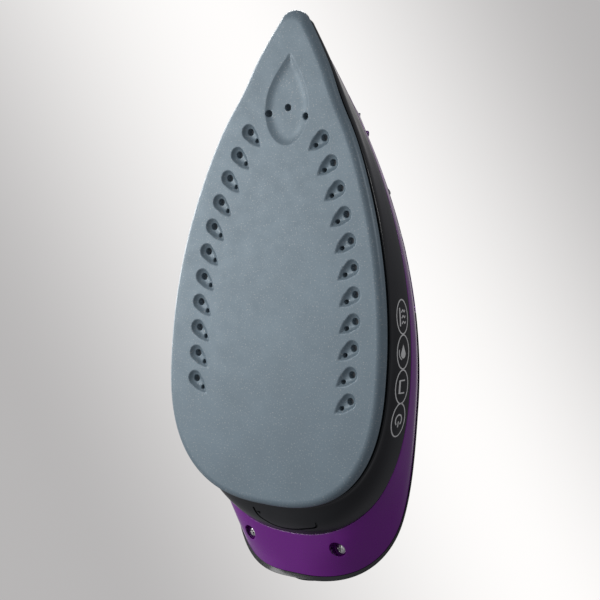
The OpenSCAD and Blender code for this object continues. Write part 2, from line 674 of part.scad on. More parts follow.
// A round tube along a smooth line through points
tube_sides = 8;
tube_steps = 3;
module tube_path(pts, r) {
    n = (len(pts) - 1) * tube_steps;
    function at(k) = curve(pts, min(k / tube_steps, len(pts) - 1.001));
    function ring_pt(k, j) = let (d = at(k + 0.1) - at(max(k - 0.1, 0)), t = d / norm(d),
            s = cross(t, [1, 0, 0]), side = s / norm(s), up = cross(side, t),
            a = 360 * j / tube_sides)
        at(k) + r * cos(a) * side + r * sin(a) * up;
    polyhedron([for (k = [0:n], j = [0:tube_sides - 1]) ring_pt(k, j)],
        concat([[for (j = [tube_sides - 1:-1:0]) j]],
            [[for (j = [0:tube_sides - 1]) n * tube_sides + j]],
            [for (k = [0:n - 1])
                each band(k * tube_sides, (k + 1) * tube_sides, tube_sides)]));
}
feed_z = deck_h - 1.2;
module pump_tubes() {
    near = outlet_reach + 0.1;
    far = outlet_reach + 2.6;
    color([0.85, 0.9, 0.95]) {
        tube_path([off_outlet(steam_y, steam_pump_z, -outlet_turn, near),
            off_outlet(steam_y, steam_pump_z, -outlet_turn, far),
            [feed_x, 19, 91], [feed_x, 29, 79], [feed_x, feed_y, 68], [feed_x, feed_y, feed_z]], 1.3);
        tube_path([off_outlet(spray_y, spray_pump_z, outlet_turn, near),
            off_outlet(spray_y, spray_pump_z, outlet_turn, far),
            [-feed_x, 34.5, 78], [-feed_x, feed_y, 68], [-feed_x, feed_y, feed_z]], 1.3);
    }
}
module steam_selector() {
    color("dimgray") on_selector() {
        difference() {
            cylinder(r = selector_r, h = 3.6);
            for (a = [0:30:359]) rotate(a) translate([selector_r + 0.5, 0, -1])
                cylinder(r = 1, h = 6, $fn = 16);
        }
        translate([0, 0, 3.5]) block(0, 1.2, 0, [2.4, 9, 2]);
        translate([0, 0, -13]) cylinder(r = 2, h = 14);
        translate([0, 0, -13]) block(0, 2.5, 0, [3, 7, 2]);
    }
}

// ---- deck fittings -------------------------------------------------------
nozzle_y = 87.2;
module spray_nozzle() {
    color("dimgray") translate([0, nozzle_y, deck_h]) difference() {
        union() {
            translate([0, 0, 0.05]) cylinder(r = 3, h = 2);
            translate([0, -3, 2]) rotate([-90, 0, 0]) cylinder(r = 1.95, h = 7);
            translate([0, 0, -3.4]) cylinder(r = 1.55, h = 4);
        }
        translate([0, 0, 2]) rotate([-90, 0, 0]) cylinder(r = 0.6, h = 9);
        translate([0, 0, -4]) cylinder(r = 0.8, h = 6);
    }
}
module nozzle_tube() {
    color([0.85, 0.9, 0.95]) tube_path([[0, nozzle_y, deck_h - 3.5], [0, nozzle_y - 1, deck_h - 6],
        [-feed_x, 62, deck_h - 6], [-feed_x, 44, deck_h - 6],
        [-feed_x, feed_y + 0.5, deck_h - 4.5], [-feed_x, feed_y, feed_z - 0.15]], 1.2);
}
module filler_lid() {
    color("dimgray") difference() {
        union() {
            block(0, filler_y - 0.4, deck_h + seam, [15, 14.8, 2.2]);
            block(0, filler_y + 7, deck_h + seam, [10.4, 6, 2.2]);
            translate([-5.2, lid_pin_y, lid_pin_z]) rotate([0, 90, 0]) cylinder(r = 1.6, h = 10.4);
            post(0, filler_y, deck_h - 1.6, 3.4, 2);
        }
        translate([-20, lid_pin_y, lid_pin_z]) rotate([0, 90, 0]) cylinder(r = 0.9 + run_fit, h = 40);
        block(0, filler_y - 8.6, deck_h + 1.6, [8, 2.2, 2]);
    }
}
module filler_seal() {
    color("black") difference() {
        post(0, filler_y, deck_h - 1.5, 5.4, 1.7);
        post(0, filler_y, deck_h - 2, 3.45, 3);
    }
}
module lid_pin() {
    color("silver") translate([-7.1, lid_pin_y, lid_pin_z]) rotate([0, 90, 0])
        cylinder(r = 0.9, h = 14.2, $fn = 24);
}
module temperature_dial() {
    color("dimgray") translate([0, dial_y, deck_h + 0.5]) difference() {
        union() {
            cylinder(r = dial_r, h = 5.5);
            translate([0, 0, 5.5]) cylinder(r1 = dial_r, r2 = dial_r - 1.5, h = 1.2);
            translate([0, 0, 6.6]) block(0, dial_r - 6, 0, [1.6, 7, 0.8]);
        }
        for (a = [0:12:359]) rotate(a) translate([dial_r + 0.6, 0, -1])
            cylinder(r = 1.2, h = 9, $fn = 16);
        translate([0, 0, -1]) cylinder(r = shaft_r - 0.5, h = 5);
    }
}
module dial_shaft() {
    color("white") {
        post(0, dial_y, cover_top + 3, shaft_r, deck_h + 0.4 - cover_top - 3);
        post(0, dial_y, deck_h + 0.3, shaft_r - 0.5, 4.1);
    }
}
module dial_scale() {
    color("gainsboro") translate([0, dial_y, deck_h + 0.02]) difference() {
        cylinder(r = dial_r + 4.5, h = 0.9);
        translate([0, 0, -1]) cylinder(r = dial_r + 1.2, h = 4);
    }
}
lamp_z = 110;
module indicator_lens() {
    color([0.9, 0.3, 0.15, 0.7]) difference() {
        union() {
            post(0, lamp_y, lamp_z + 5, 4, 6.3);
            translate([0, lamp_y, lamp_z + 11.3]) cylinder(r1 = 4, r2 = 3, h = 1);
            post(0, lamp_y, lamp_z + 5, 5.4, 0.8);
        }
        post(0, lamp_y, lamp_z, 2.9, 6.6);
    }
}
module indicator_lamp() {
    color([1, 0.6, 0.3]) {
        post(0, lamp_y, lamp_z - 5, 2.4, 8);
        translate([0, lamp_y, lamp_z + 3]) sphere(2.4);
    }
}

// ---- cord inlet ----------------------------------------------------------
gland_at = [0, -112.5, 102];
gland_tilt = 48;
gland_r = 8;
ball_r = 5.6;
module gland_frame() {
    translate(gland_at) rotate([90 - gland_tilt, 0, 0]) children();
}
module trunnion(grow) {
    rotate([0, 90, 0]) cylinder(r = 1.2 + grow, h = 14 + 2 * grow, center = true);
}
module cord_gland() {
    color([0.1, 0.1, 0.1]) gland_frame() difference() {
        translate([0, 0, -4]) cylinder(r = gland_r, h = 13);
        sphere(ball_r + run_fit + 0.03);
        trunnion(run_fit);
        translate([0, 0, -20]) cylinder(r = 4.9, h = 20);
        cylinder(r1 = 4.9, r2 = 8.2, h = 9.2);
    }
}
module cord_swivel() {
    color([0.12, 0.12, 0.12]) gland_frame() difference() {
        union() {
            sphere(ball_r);
            trunnion(0);
            cylinder(r = 4.4, h = 13);
        }
        translate([0, 0, -10]) cylinder(r = cord_hole_r, h = 30);
    }
}

// ---- wiring --------------------------------------------------------------
board_z = 44;
module terminal_block() {
    color("white") difference() {
        block(0, -84, 36, [26, 12, 9]);
        for (x = [-8, 0, 8]) {
            post(x, -84, 38, 2, 10);
            translate([x, -95, 40]) rotate([-90, 0, 0]) cylinder(r = 1.6, h = 22);
        }
    }
}
module control_board() {
    color("darkgreen") block(0, -62, board_z, [44, 28, 1.6]);
    color("black") {
        block(-12, -66, board_z + 1.55, [14, 12, 9]);
        block(12, -54, board_z + 1.55, [9, 7, 5]);
        post(12, -67, board_z + 1.55, 4, 8.5);
    }
}
module lead_wires() {
    color("sienna") for (x = [-8, 0, 8])
        tube_path([[x, -91, 40], [x, -98, 40], [x * 0.5, -112, 46], [x * 0.5, -116, 66],
            [x * 0.25, -114, 86], [x * 0.22, -106.5, 96]], 1.1);
    color("firebrick") for (s = [-1, 1])
        tube_path([[s * 8, -77, 40], [s * 12, -72, 36], [s * 8, -68, 30], [s * 2.6, -64, 23],
            [s * 2.6, -59.8, 20.1]], 0.9);
}

soleplate();
heater_casting();
heating_element();
chamber_seal();
chamber_cover();
chamber_screws();
thermostat();
thermal_fuse();
skirt();
skirt_screws();
body_shell();
heel_screws();
tank_base();
tank_seal();
water_tank();
valve_seat();
valve_rod();
upper_housing();
spray_nozzle();
nozzle_tube();
filler_lid();
filler_seal();
lid_pin();
handle_frame();
handle_nose();
handle_top();
handle_tail();
handle_grip();
spray_button();
spray_spring();
spray_pump();
steam_button();
steam_spring();
steam_pump();
pump_tubes();
steam_selector();
temperature_dial();
dial_shaft();
dial_scale();
indicator_lens();
indicator_lamp();
rear_cover();
rear_cover_screws();
heel_pads();
cord_gland();
cord_swivel();
terminal_block();
control_board();
lead_wires();
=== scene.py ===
"""Steam iron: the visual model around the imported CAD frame, and its studio."""
import json
import math

import bmesh
import bpy
import numpy as np
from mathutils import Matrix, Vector
from mathutils.bvhtree import BVHTree
from mathutils.geometry import delaunay_2d_cdt


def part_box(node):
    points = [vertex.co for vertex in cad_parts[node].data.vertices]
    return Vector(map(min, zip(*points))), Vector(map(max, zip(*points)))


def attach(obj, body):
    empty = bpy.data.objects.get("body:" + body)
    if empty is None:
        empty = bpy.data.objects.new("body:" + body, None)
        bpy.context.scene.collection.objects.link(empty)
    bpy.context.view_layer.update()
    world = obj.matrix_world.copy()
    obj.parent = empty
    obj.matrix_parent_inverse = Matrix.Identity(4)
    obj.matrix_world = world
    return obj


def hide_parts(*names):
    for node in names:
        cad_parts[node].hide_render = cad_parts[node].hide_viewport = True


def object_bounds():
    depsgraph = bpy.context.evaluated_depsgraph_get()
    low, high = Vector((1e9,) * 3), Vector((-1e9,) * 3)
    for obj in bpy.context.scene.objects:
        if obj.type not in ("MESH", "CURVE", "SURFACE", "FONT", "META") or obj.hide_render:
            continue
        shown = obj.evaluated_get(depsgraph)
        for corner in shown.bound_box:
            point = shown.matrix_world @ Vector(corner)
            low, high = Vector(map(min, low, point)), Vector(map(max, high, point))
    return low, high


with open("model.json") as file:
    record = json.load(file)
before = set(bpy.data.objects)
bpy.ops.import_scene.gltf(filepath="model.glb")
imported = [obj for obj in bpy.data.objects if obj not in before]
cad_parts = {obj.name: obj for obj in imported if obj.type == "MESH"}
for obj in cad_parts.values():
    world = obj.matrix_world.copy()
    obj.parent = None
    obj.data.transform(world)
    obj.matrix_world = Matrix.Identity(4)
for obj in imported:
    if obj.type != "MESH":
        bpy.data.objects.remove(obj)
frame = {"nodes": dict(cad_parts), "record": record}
cad_low, cad_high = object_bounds()

# ---- sizes, in millimetres unless a name says otherwise ----------------------
MM = 0.001
STATIC = "iron_body"
# Rays that look for a surface start this far under or beside the iron
RAY_UNDER, RAY_BESIDE = -50, 120


def cad_mm(node):
    """Lowest and highest corner of a CAD node."""
    low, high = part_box(node)
    return low / MM, high / MM


sole_low, sole_high = cad_mm("soleplate")
TIP_Y = sole_high.y
SOLE_REAR_Y = sole_low.y
HALF_W = sole_high.x
SOLE_T = sole_high.z
HEEL_Y = cad_low.y / MM
SKIRT_Z = cad_mm("skirt")[1].z
BELT_Z = cad_mm("body_shell")[1].z
DECK_Z = cad_mm("upper_housing")[1].z
WALL = 2.4
SEAM = 0.3

NOSE_STEPS, FLANK_STEPS, REAR_STEPS = 10, 64, 56
WAIST_Y = TIP_Y - 39.5
WAIST_REACH = 12


# ---- outlines of the iron's levels -------------------------------------------
class Level:
    """Outline of one level: a round nose, parabola flanks and a superellipse rear."""

    def __init__(self, tip, widest, rear, half, nose, power, waist=0.0):
        self.shape = (tip, widest, rear, half, nose, power, waist)

    def inset(self, d):
        tip, widest, rear, half, nose, power, waist = self.shape
        return Level(tip - 1.5 * d, widest, rear + d, half - d,
                     max(nose - 0.5 * d, 1.5), power, waist)

    def outline(self):
        tip, widest, rear, half, nose, power, waist = self.shape
        spread = math.atan(2 * half / (tip - widest + 0.7 * nose))
        apex = tip + nose * (1 / math.sin(spread) - 1)
        turn = np.linspace(0, math.pi / 2 - spread, NOSE_STEPS, endpoint=False)
        front = np.column_stack([nose * np.sin(turn), tip - nose + nose * np.cos(turn)])
        y = np.linspace(tip - nose + nose * math.sin(spread), widest, FLANK_STEPS + 1)
        x = half * (1 - ((y - widest) / (apex - widest)) ** 2)
        x -= waist * np.exp(-(((y - WAIST_Y) / WAIST_REACH) ** 2))
        turn = np.linspace(0, math.pi / 2, REAR_STEPS + 1)[1:]
        back = np.column_stack([half * np.abs(np.cos(turn)) ** (2 / power),
                                widest + (rear - widest) * np.sin(turn) ** (2 / power)])
        back[-1, 0] = 0
        side = np.vstack([front, np.column_stack([x, y]), back])
        return np.vstack([side, side[-2:0:-1] * [-1, 1]])


SOLE = Level(TIP_Y, -25.5, SOLE_REAR_Y, HALF_W, 8, 2.6, 1.4)
HEM = Level(TIP_Y - 2.7, -25.5, SOLE_REAR_Y - 0.6, HALF_W - 0.3, 7, 2.6, 0.8)
LEDGE = Level(TIP_Y - 8.4, -29.5, SOLE_REAR_Y - 10, HALF_W + 0.5, 4, 2.5)
SKIRT = Level(TIP_Y - 16, -33, SOLE_REAR_Y - 16.4, HALF_W + 0.4, 3, 2.34)
BULGE = Level(TIP_Y - 25.4, -38, HEEL_Y + 14, HALF_W - 1.6, 4, 2.35)
BELT = Level(TIP_Y - 35.4, -45, HEEL_Y + 5.4, HALF_W - 6.5, 5, 3.2)
RIM = Level(TIP_Y - 35.4, -45, HEEL_Y + 3.2, HALF_W - 6.2, 5, 3.2)
DECK1 = Level(TIP_Y - 39.9, -45, HEEL_Y + 3.7, HALF_W - 10.2, 5, 2.9)
DECK2 = Level(TIP_Y - 43.4, -45, HEEL_Y + 4.5, HALF_W - 13.9, 5, 3)
DECK3 = Level(TIP_Y - 45.4, -45, HEEL_Y + 6, HALF_W - 16.9, 5, 3.2)
HEM_Z = 8
HEEL_BEND_Y = HEEL_Y + 36


def smooth(t):
    t = np.clip(t, 0, 1)
    return t * t * (3 - 2 * t)


def arc_drop(y, reach):
    """0 ahead of the heel bend, growing to 1 along a quarter circle behind it."""
    return 1 - np.sqrt(np.maximum(1 - (np.maximum(HEEL_BEND_Y - y, 0) / reach) ** 2, 0))


def ledge_z(y):
    return 17 - 1.5 * smooth((-80 - y) / 25)


def skirt_z(y):
    return SKIRT_Z - 3.5 * smooth((-88 - y) / 20)


def bulge_z(y):
    return (SKIRT_Z + BELT_Z) / 2 - 8.5 * smooth((-92 - y) / 30)


def belt_z(y):
    return BELT_Z - 18 * arc_drop(y, 30.9)


def rim_z(y):
    return BELT_Z + 0.4 - 18.9 * arc_drop(y, 33.1)


def ring(level, height, d=0.0, lift=0.0):
    """The level's outline drawn in by d, at a height or along a seam curve."""
    flat = level.inset(d).outline()
    z = height(flat[:, 1]) if callable(height) else np.full(len(flat), float(height))
    return np.column_stack([flat, z + lift])


# ---- mesh tools --------------------------------------------------------------
def toward(here, there, distance):
    step = there - here
    length = np.linalg.norm(step, axis=1, keepdims=True)
    return here + step * np.minimum(distance / np.maximum(length, 1e-6), 0.5)


def rounded(rings, cuts, closed=True, steps=4):
    """Rings with each corner replaced by a curve that starts a cut before it."""
    out = []
    for i, (here, cut) in enumerate(zip(rings, cuts)):
        at_end = not closed and i in (0, len(rings) - 1)
        if cut == 0 or at_end:
            out.append(here)
            continue
        start = toward(here, rings[i - 1], cut)
        end = toward(here, rings[(i + 1) % len(rings)], cut)
        for t in np.linspace(0, 1, steps + 1):
            out.append((1 - t) ** 2 * start + 2 * t * (1 - t) * here + t * t * end)
    return out


def bands(rows, columns, wrap_rows, wrap_columns=True, base=0):
    """Quads between rows of points, each row a loop or a strip of columns."""
    faces = []
    for r in range(rows if wrap_rows else rows - 1):
        a, b = base + r * columns, base + (r + 1) % rows * columns
        for c in range(columns if wrap_columns else columns - 1):
            d = (c + 1) % columns
            faces.append((a + c, a + d, b + d, b + c))
    return faces


def mirrored_cap(base, n):
    """Strips across a ring whose two halves mirror each other."""
    faces = []
    for i in range(n // 2):
        left, next_left = (n - i) % n, n - i - 1
        loop = [i, i + 1, next_left, left]
        faces.append(tuple(base + v for v in dict.fromkeys(loop)))
    return faces


def as_mesh(name, points, faces, sharp=40, weld=True):
    """A mesh in metres with outward normals, smooth apart from its sharp edges."""
    mesh = bpy.data.meshes.new(name)
    mesh.from_pydata((np.asarray(points, float) * MM).tolist(), [], faces)
    bm = bmesh.new()
    bm.from_mesh(mesh)
    if weld:
        bmesh.ops.remove_doubles(bm, verts=bm.verts, dist=0.002 * MM)
    bmesh.ops.recalc_face_normals(bm, faces=bm.faces)
    bm.to_mesh(mesh)
    bm.free()
    shade(mesh, sharp)
    return mesh


def shade(mesh, sharp=40):
    mesh.shade_smooth()
    mesh.set_sharp_from_angle(angle=math.radians(sharp))


def place(name, mesh, material, slot, body=STATIC, replaces=()):
    """A finished piece: its mesh, its material, its body and the nodes it stands for."""
    piece = bpy.data.objects.new(name, mesh)
    bpy.context.scene.collection.objects.link(piece)
    if not mesh.materials:
        mesh.materials.append(material)
    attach(piece, body)
    if replaces:
        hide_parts(*replaces)
    return piece


def even_normals(piece):
    """Weights normals by face area, so wide faces stay flat next to small bevels."""
    modifier = piece.modifiers.new("even normals", "WEIGHTED_NORMAL")
    modifier.keep_sharp = True
    modifier.weight = 80


def carve(mesh, cutters):
    """The mesh with each cutter's volume taken out in turn; a cutter is (points, faces)."""
    for points, faces in cutters:
        body = bpy.data.objects.new("carved", mesh)
        tool = bpy.data.objects.new("tool", as_mesh("tool", points, faces))
        for made in (body, tool):
            bpy.context.scene.collection.objects.link(made)
        cut = body.modifiers.new("cut", "BOOLEAN")
        cut.operation, cut.solver, cut.object = "DIFFERENCE", "EXACT", tool
        bpy.context.view_layer.update()
        graph = bpy.context.evaluated_depsgraph_get()
        left = bpy.data.meshes.new_from_object(body.evaluated_get(graph))
        if not left.polygons:
            raise ValueError("nothing is left of " + mesh.name)
        left.name = mesh.name
        left.materials.clear()
        for used in (body, tool):
            bpy.data.objects.remove(used)
        shade(left)
        mesh = left
    return mesh


def soften(mesh, chosen, width, segments=2):
    """Bevels the sharp edges whose middle, in millimetres, chosen accepts."""
    bm = bmesh.new()
    bm.from_mesh(mesh)
    edges = [e for e in bm.edges
             if len(e.link_faces) == 2 and e.calc_face_angle(0) > math.radians(28)
             and chosen((e.verts[0].co + e.verts[1].co) / 2 / MM)]
    bmesh.ops.bevel(bm, geom=edges, offset=width * MM, segments=segments,
                    affect="EDGES", profile=0.5, clamp_overlap=True)
    bm.to_mesh(mesh)
    bm.free()
    shade(mesh)
    return mesh


def turned(profile, sides=48, flute=None):
    """A turned solid about Z from (radius, z) pairs, bottom to top, closed at both ends."""
    angles = np.linspace(0, 2 * math.pi, sides, endpoint=False)
    rows = []
    for radius, z in profile:
        r = np.full(sides, float(radius))
        if flute:
            r = r - flute(angles, radius, z)
        rows.append(np.column_stack([r * np.cos(angles), r * np.sin(angles),
                                     np.full(sides, float(z))]))
    faces = bands(len(rows), sides, False)
    faces.append(tuple(range(sides))[::-1])
    faces.append(tuple((len(rows) - 1) * sides + i for i in range(sides)))
    return np.vstack(rows), faces


def moved(shape, at=(0, 0, 0), tilt=0.0, spin=0.0):
    """A (points, faces) shape spun about Z, tilted about X, then moved."""
    points, faces = shape
    c, s = math.cos(spin), math.sin(spin)
    points = points @ np.array([[c, s, 0], [-s, c, 0], [0, 0, 1]])
    c, s = math.cos(tilt), math.sin(tilt)
    points = points @ np.array([[1, 0, 0], [0, c, s], [0, -s, c]])
    return points + np.array(at, float), faces


def joined(shapes):
    points, faces = [], []
    for shape_points, shape_faces in shapes:
        faces += [tuple(len(points) + v for v in f) for f in shape_faces]
        points += [tuple(p) for p in shape_points]
    return np.array(points), faces


def cylinder(radius, z0, z1, sides=48):
    return turned([(radius, z0), (radius, z1)], sides)


def profile(corners, steps=4):
    """(radius, z) pairs from (radius, z, cut) corners, each corner rounded by its cut."""
    rings = [np.array([[r, z]], float) for r, z, _ in corners]
    curve = rounded(rings, [c for _, _, c in corners], closed=False, steps=steps)
    return [tuple(p[0]) for p in curve]


class Surface:
    """Finds the place and the outward normal where a ray meets a mesh."""

    def __init__(self, mesh):
        points = [v.co / MM for v in mesh.vertices]
        self.tree = BVHTree.FromPolygons(points, [tuple(p.vertices) for p in mesh.polygons])

    def meet(self, origins, direction):
        direction = Vector(direction).normalized()
        places, normals = [], []
        for origin in origins:
            place, normal, _, _ = self.tree.ray_cast(Vector(origin), direction)
            places.append(tuple(place))
            normals.append(tuple(normal if normal.dot(direction) < 0 else -normal))
        return np.array(places), np.array(normals)


def under_z(surface, points):
    """Height of a surface seen from below at each (x, y) point."""
    return surface.meet([(x, y, RAY_UNDER) for x, y in points], (0, 0, 1))[0][:, 2]


def stroke(path, normals, widths, rise, sink, closed=False):
    """A ribbon of the given widths along a path on a surface, as a closed solid."""
    path, normals = np.asarray(path, float), np.asarray(normals, float)
    widths = np.broadcast_to(np.asarray(widths, float), len(path))[:, None]
    if closed:
        along = np.roll(path, -1, 0) - np.roll(path, 1, 0)
    else:
        along = np.gradient(path, axis=0)
    side = np.cross(normals, along)
    side *= widths / 2 / np.maximum(np.linalg.norm(side, axis=1, keepdims=True), 1e-9)
    loops = np.stack([path - side + rise * normals, path + side + rise * normals,
                      path + side - sink * normals, path - side - sink * normals], axis=1)
    faces = bands(len(path), 4, closed)
    if not closed:
        last = 4 * (len(path) - 1)
        faces += [(3, 2, 1, 0), (last, last + 1, last + 2, last + 3)]
    return loops.reshape(-1, 3), faces


# ---- materials ---------------------------------------------------------------
def add(tree, kind, values=(), **settings):
    """A shader node with its settings and its input values."""
    node = tree.nodes.new(kind)
    for key, value in settings.items():
        setattr(node, key, value)
    for key, value in dict(values).items():
        node.inputs[key].default_value = value
    return node


def noise(tree, coordinates, size, detail=3.0, rough=0.5):
    """Noise with features of about the given size in millimetres."""
    made = add(tree, "ShaderNodeTexNoise",
               {"Scale": 1 / (size * MM), "Detail": detail, "Roughness": rough})
    tree.links.new(coordinates, made.inputs["Vector"])
    return made.outputs[0]


def mapped(tree, value, low, high, to_low, to_high):
    made = add(tree, "ShaderNodeMapRange", {"From Min": low, "From Max": high,
                                            "To Min": to_low, "To Max": to_high})
    tree.links.new(value, made.inputs["Value"])
    return made.outputs["Result"]


def blended(tree, factor, first, second):
    """Mix of two colours, each a colour or a socket."""
    made = add(tree, "ShaderNodeMix", data_type="RGBA")
    tree.links.new(factor, made.inputs[0])
    for socket, colour in ((made.inputs[6], first), (made.inputs[7], second)):
        if isinstance(colour, tuple):
            socket.default_value = (*colour, 1)
        else:
            tree.links.new(colour, socket)
    return made.outputs[2]


def finish(name, colour, rough, metallic=0.0, mottle=0.12, mottle_size=16.0, spread=0.05,
           grain=0.5, relief=0.01, fleck=None, dust=0.0, stretch=(1, 1, 1), **shader):
    """A material whose colour, roughness and relief vary over the surface.

    mottle is the share of slow colour change, spread the change in roughness, grain and
    relief the size and height of the fine texture in millimetres, fleck (colour, size,
    share) small specks of another colour, dust a share of pale bloom, and stretch draws
    the texture out along the axes. The rest are values of the shader's own sockets.
    """
    material = bpy.data.materials.new(name)
    material.use_nodes = True
    tree = material.node_tree
    bsdf = tree.nodes["Principled BSDF"]
    bsdf.inputs["Metallic"].default_value = metallic
    for key, value in shader.items():
        bsdf.inputs[key.replace("_", " ")].default_value = value
    where = add(tree, "ShaderNodeTexCoord").outputs["Object"]
    scale = add(tree, "ShaderNodeVectorMath", {1: stretch}, operation="MULTIPLY")
    tree.links.new(where, scale.inputs[0])
    drawn = scale.outputs[0]
    slow = noise(tree, where, mottle_size)
    dark = tuple(c * (1 - mottle) for c in colour)
    light = tuple(min(c * (1 + mottle), 1) for c in colour)
    tint = blended(tree, mapped(tree, slow, 0.35, 0.65, 0, 1), dark, light)
    fine = noise(tree, drawn, grain, detail=4)
    if fleck:
        fleck_colour, fleck_size, share = fleck
        specks = noise(tree, where, fleck_size, detail=1)
        tint = blended(tree, mapped(tree, specks, 0.72 - share, 0.78 - share, 0, 1),
                       tint, fleck_colour)
    if dust:
        bloom = noise(tree, where, 30, detail=6)
        tint = blended(tree, mapped(tree, bloom, 0.5, 0.8, 0, dust), tint, (0.5, 0.5, 0.5))
    tree.links.new(tint, bsdf.inputs["Base Color"])
    wear = noise(tree, drawn, 7, detail=5, rough=0.65)
    tree.links.new(mapped(tree, wear, 0.3, 0.7, max(rough - spread, 0.02), rough + spread),
                   bsdf.inputs["Roughness"])
    bump = add(tree, "ShaderNodeBump", {"Strength": 1.0, "Distance": relief * MM})
    tree.links.new(fine, bump.inputs["Height"])
    tree.links.new(bump.outputs["Normal"], bsdf.inputs["Normal"])
    return material


FINISHES = {
    "sole_coating": finish("sole coating", (0.190, 0.252, 0.296), 0.42, metallic=0.15,
                           mottle=0.05, mottle_size=26, spread=0.05, grain=0.55,
                           relief=0.02, fleck=((0.34, 0.38, 0.40), 0.7, 0.09)),
    "purple_gloss": finish("purple gloss", (0.20, 0.008, 0.29), 0.26, mottle=0.05,
                           mottle_size=35, spread=0.03, grain=2.5, relief=0.004,
                           Coat_Weight=0.35, Coat_Roughness=0.06),
    "black_gloss": finish("black gloss", (0.006, 0.007, 0.009), 0.22, mottle=0.15,
                          spread=0.05, grain=2.5, relief=0.004, dust=0.02,
                          Coat_Weight=0.3, Coat_Roughness=0.05),
    "black_satin": finish("black satin", (0.016, 0.016, 0.018), 0.42, mottle=0.15,
                          spread=0.06, grain=0.5, relief=0.02, dust=0.03),
    "grip_rubber": finish("grip rubber", (0.035, 0.035, 0.038), 0.68, mottle=0.12,
                          spread=0.06, grain=0.7, relief=0.05, dust=0.05),
    "tank_clear": finish("tinted tank", (0.36, 0.14, 0.52), 0.08, mottle=0.04, spread=0.03,
                         grain=3, relief=0.004, Transmission_Weight=0.75, IOR=1.5,
                         Coat_Weight=0.3),
    "white_plastic": finish("white plastic", (0.72, 0.71, 0.68), 0.38, mottle=0.04,
                            grain=0.6, relief=0.012, dust=0.05),
    "grey_plastic": finish("grey plastic", (0.22, 0.22, 0.24), 0.36, mottle=0.06,
                           grain=0.45, relief=0.016, dust=0.03),
    "aluminium": finish("cast aluminium", (0.62, 0.62, 0.63), 0.42, metallic=1.0,
                        mottle=0.08, spread=0.1, grain=0.9, relief=0.06),
    "steel": finish("plated steel", (0.64, 0.63, 0.62), 0.24, metallic=1.0, mottle=0.06,
                    spread=0.08, grain=0.25, relief=0.006, stretch=(1, 6, 1)),
    "element_steel": finish("oxidised steel", (0.20, 0.19, 0.18), 0.5, metallic=0.9,
                            mottle=0.25, mottle_size=6, spread=0.1, grain=0.6, relief=0.03),
    "brass": finish("brass", (0.62, 0.46, 0.20), 0.28, metallic=1.0, mottle=0.08,
                    spread=0.08, grain=0.4, relief=0.01),
    "seal_rubber": finish("silicone seal", (0.36, 0.07, 0.04), 0.55, mottle=0.1,
                          grain=0.8, relief=0.03),
    "black_rubber": finish("black seal", (0.02, 0.02, 0.02), 0.6, mottle=0.15, grain=0.8,
                           relief=0.04, dust=0.04),
    "lens_red": finish("red lens", (0.75, 0.09, 0.03), 0.12, mottle=0.05, grain=1.2,
                       relief=0.01, Transmission_Weight=0.6, IOR=1.49),
    "lamp": finish("neon lamp", (0.85, 0.5, 0.28), 0.15, mottle=0.08, grain=1.0,
                   relief=0.01, Transmission_Weight=0.5),
    "board": finish("circuit board", (0.03, 0.17, 0.07), 0.4, mottle=0.12, mottle_size=5,
                    grain=0.8, relief=0.03, fleck=((0.10, 0.30, 0.14), 2.0, 0.12)),
    "wire": finish("wire insulation", (0.26, 0.10, 0.05), 0.5, mottle=0.1, grain=0.6,
                   relief=0.02),
    "tube": finish("silicone tube", (0.78, 0.82, 0.85), 0.3, mottle=0.05, grain=1.0,
                   relief=0.01, Transmission_Weight=0.4),
}
WHITE_PRINT = finish("white print", (0.80, 0.80, 0.79), 0.5, mottle=0.04, mottle_size=5,
                     grain=0.3, relief=0.01)

# ---- soleplate ---------------------------------------------------------------
RIM_R = 3.0
VENTS_PER_SIDE = 11
VENT_PITCH = 12.2
VENT_ARC_R, VENT_ARC_Y = 188.0, TIP_Y - 146.5
VENT_FRONT = math.radians(28.4)
VENT_OUT = HALF_W - 16
VENT_TURN = math.radians(222)
VENT_R, VENT_SMALL_R, VENT_SMALL_AT = 1.6, 1.05, 5.6
VENT_SIDES, VENT_SMALL_SIDES = 28, 20
DROP_R, DROP_REACH = 3.8, 10.0
# The flanks bend at the knee; from there they run tangent to the round end
DROP_KNEE, DROP_KNEE_UP = 0.565 * DROP_REACH, 0.264 * DROP_REACH
DROP_SIDE = (math.acos(DROP_R / math.hypot(DROP_KNEE, DROP_KNEE_UP))
             + math.atan2(DROP_KNEE_UP, DROP_KNEE))
DROP_DEPTH, DROP_SLOPE = 1.7, 2.3
LEAF_FRONT, LEAF_REAR, LEAF_HALF = TIP_Y - 19, TIP_Y - 62, 12.0
LEAF_DEPTH, LEAF_SLOPE = 0.95, 4.2
HOLE_LIP = 0.28


def vent_places():
    """Centre and pointing direction of every teardrop, both sides."""
    places = []
    for side in (1, -1):
        for i in range(VENTS_PER_SIDE):
            a = VENT_FRONT - i * VENT_PITCH / VENT_ARC_R
            x = VENT_OUT - VENT_ARC_R * (1 - math.cos(max(a, 0)))
            y = VENT_ARC_Y + VENT_ARC_R * (math.sin(a) if a > 0 else a)
            point = (side * math.cos(VENT_TURN), math.sin(VENT_TURN))
            places.append((np.array([side * x, y]), np.array(point)))
    return places


def drop_outline(scale, arc_points=30, side_points=10):
    """Teardrop about its round end, pointing along +X; scale 1 is the recess's edge."""
    bend = math.atan2(DROP_KNEE_UP, DROP_KNEE)
    near = np.linspace(0, bend, side_points // 2, endpoint=False)
    far = np.linspace(bend, DROP_SIDE, side_points // 2, endpoint=False)
    ball = np.linspace(DROP_SIDE, 2 * math.pi - DROP_SIDE, arc_points)
    side = np.concatenate([near, far])
    turn = np.concatenate([side, ball, 2 * math.pi - side[:0:-1]])
    way = np.column_stack([np.cos(turn), np.sin(turn)])
    return scale * way / drop_scale(way)[:, None]


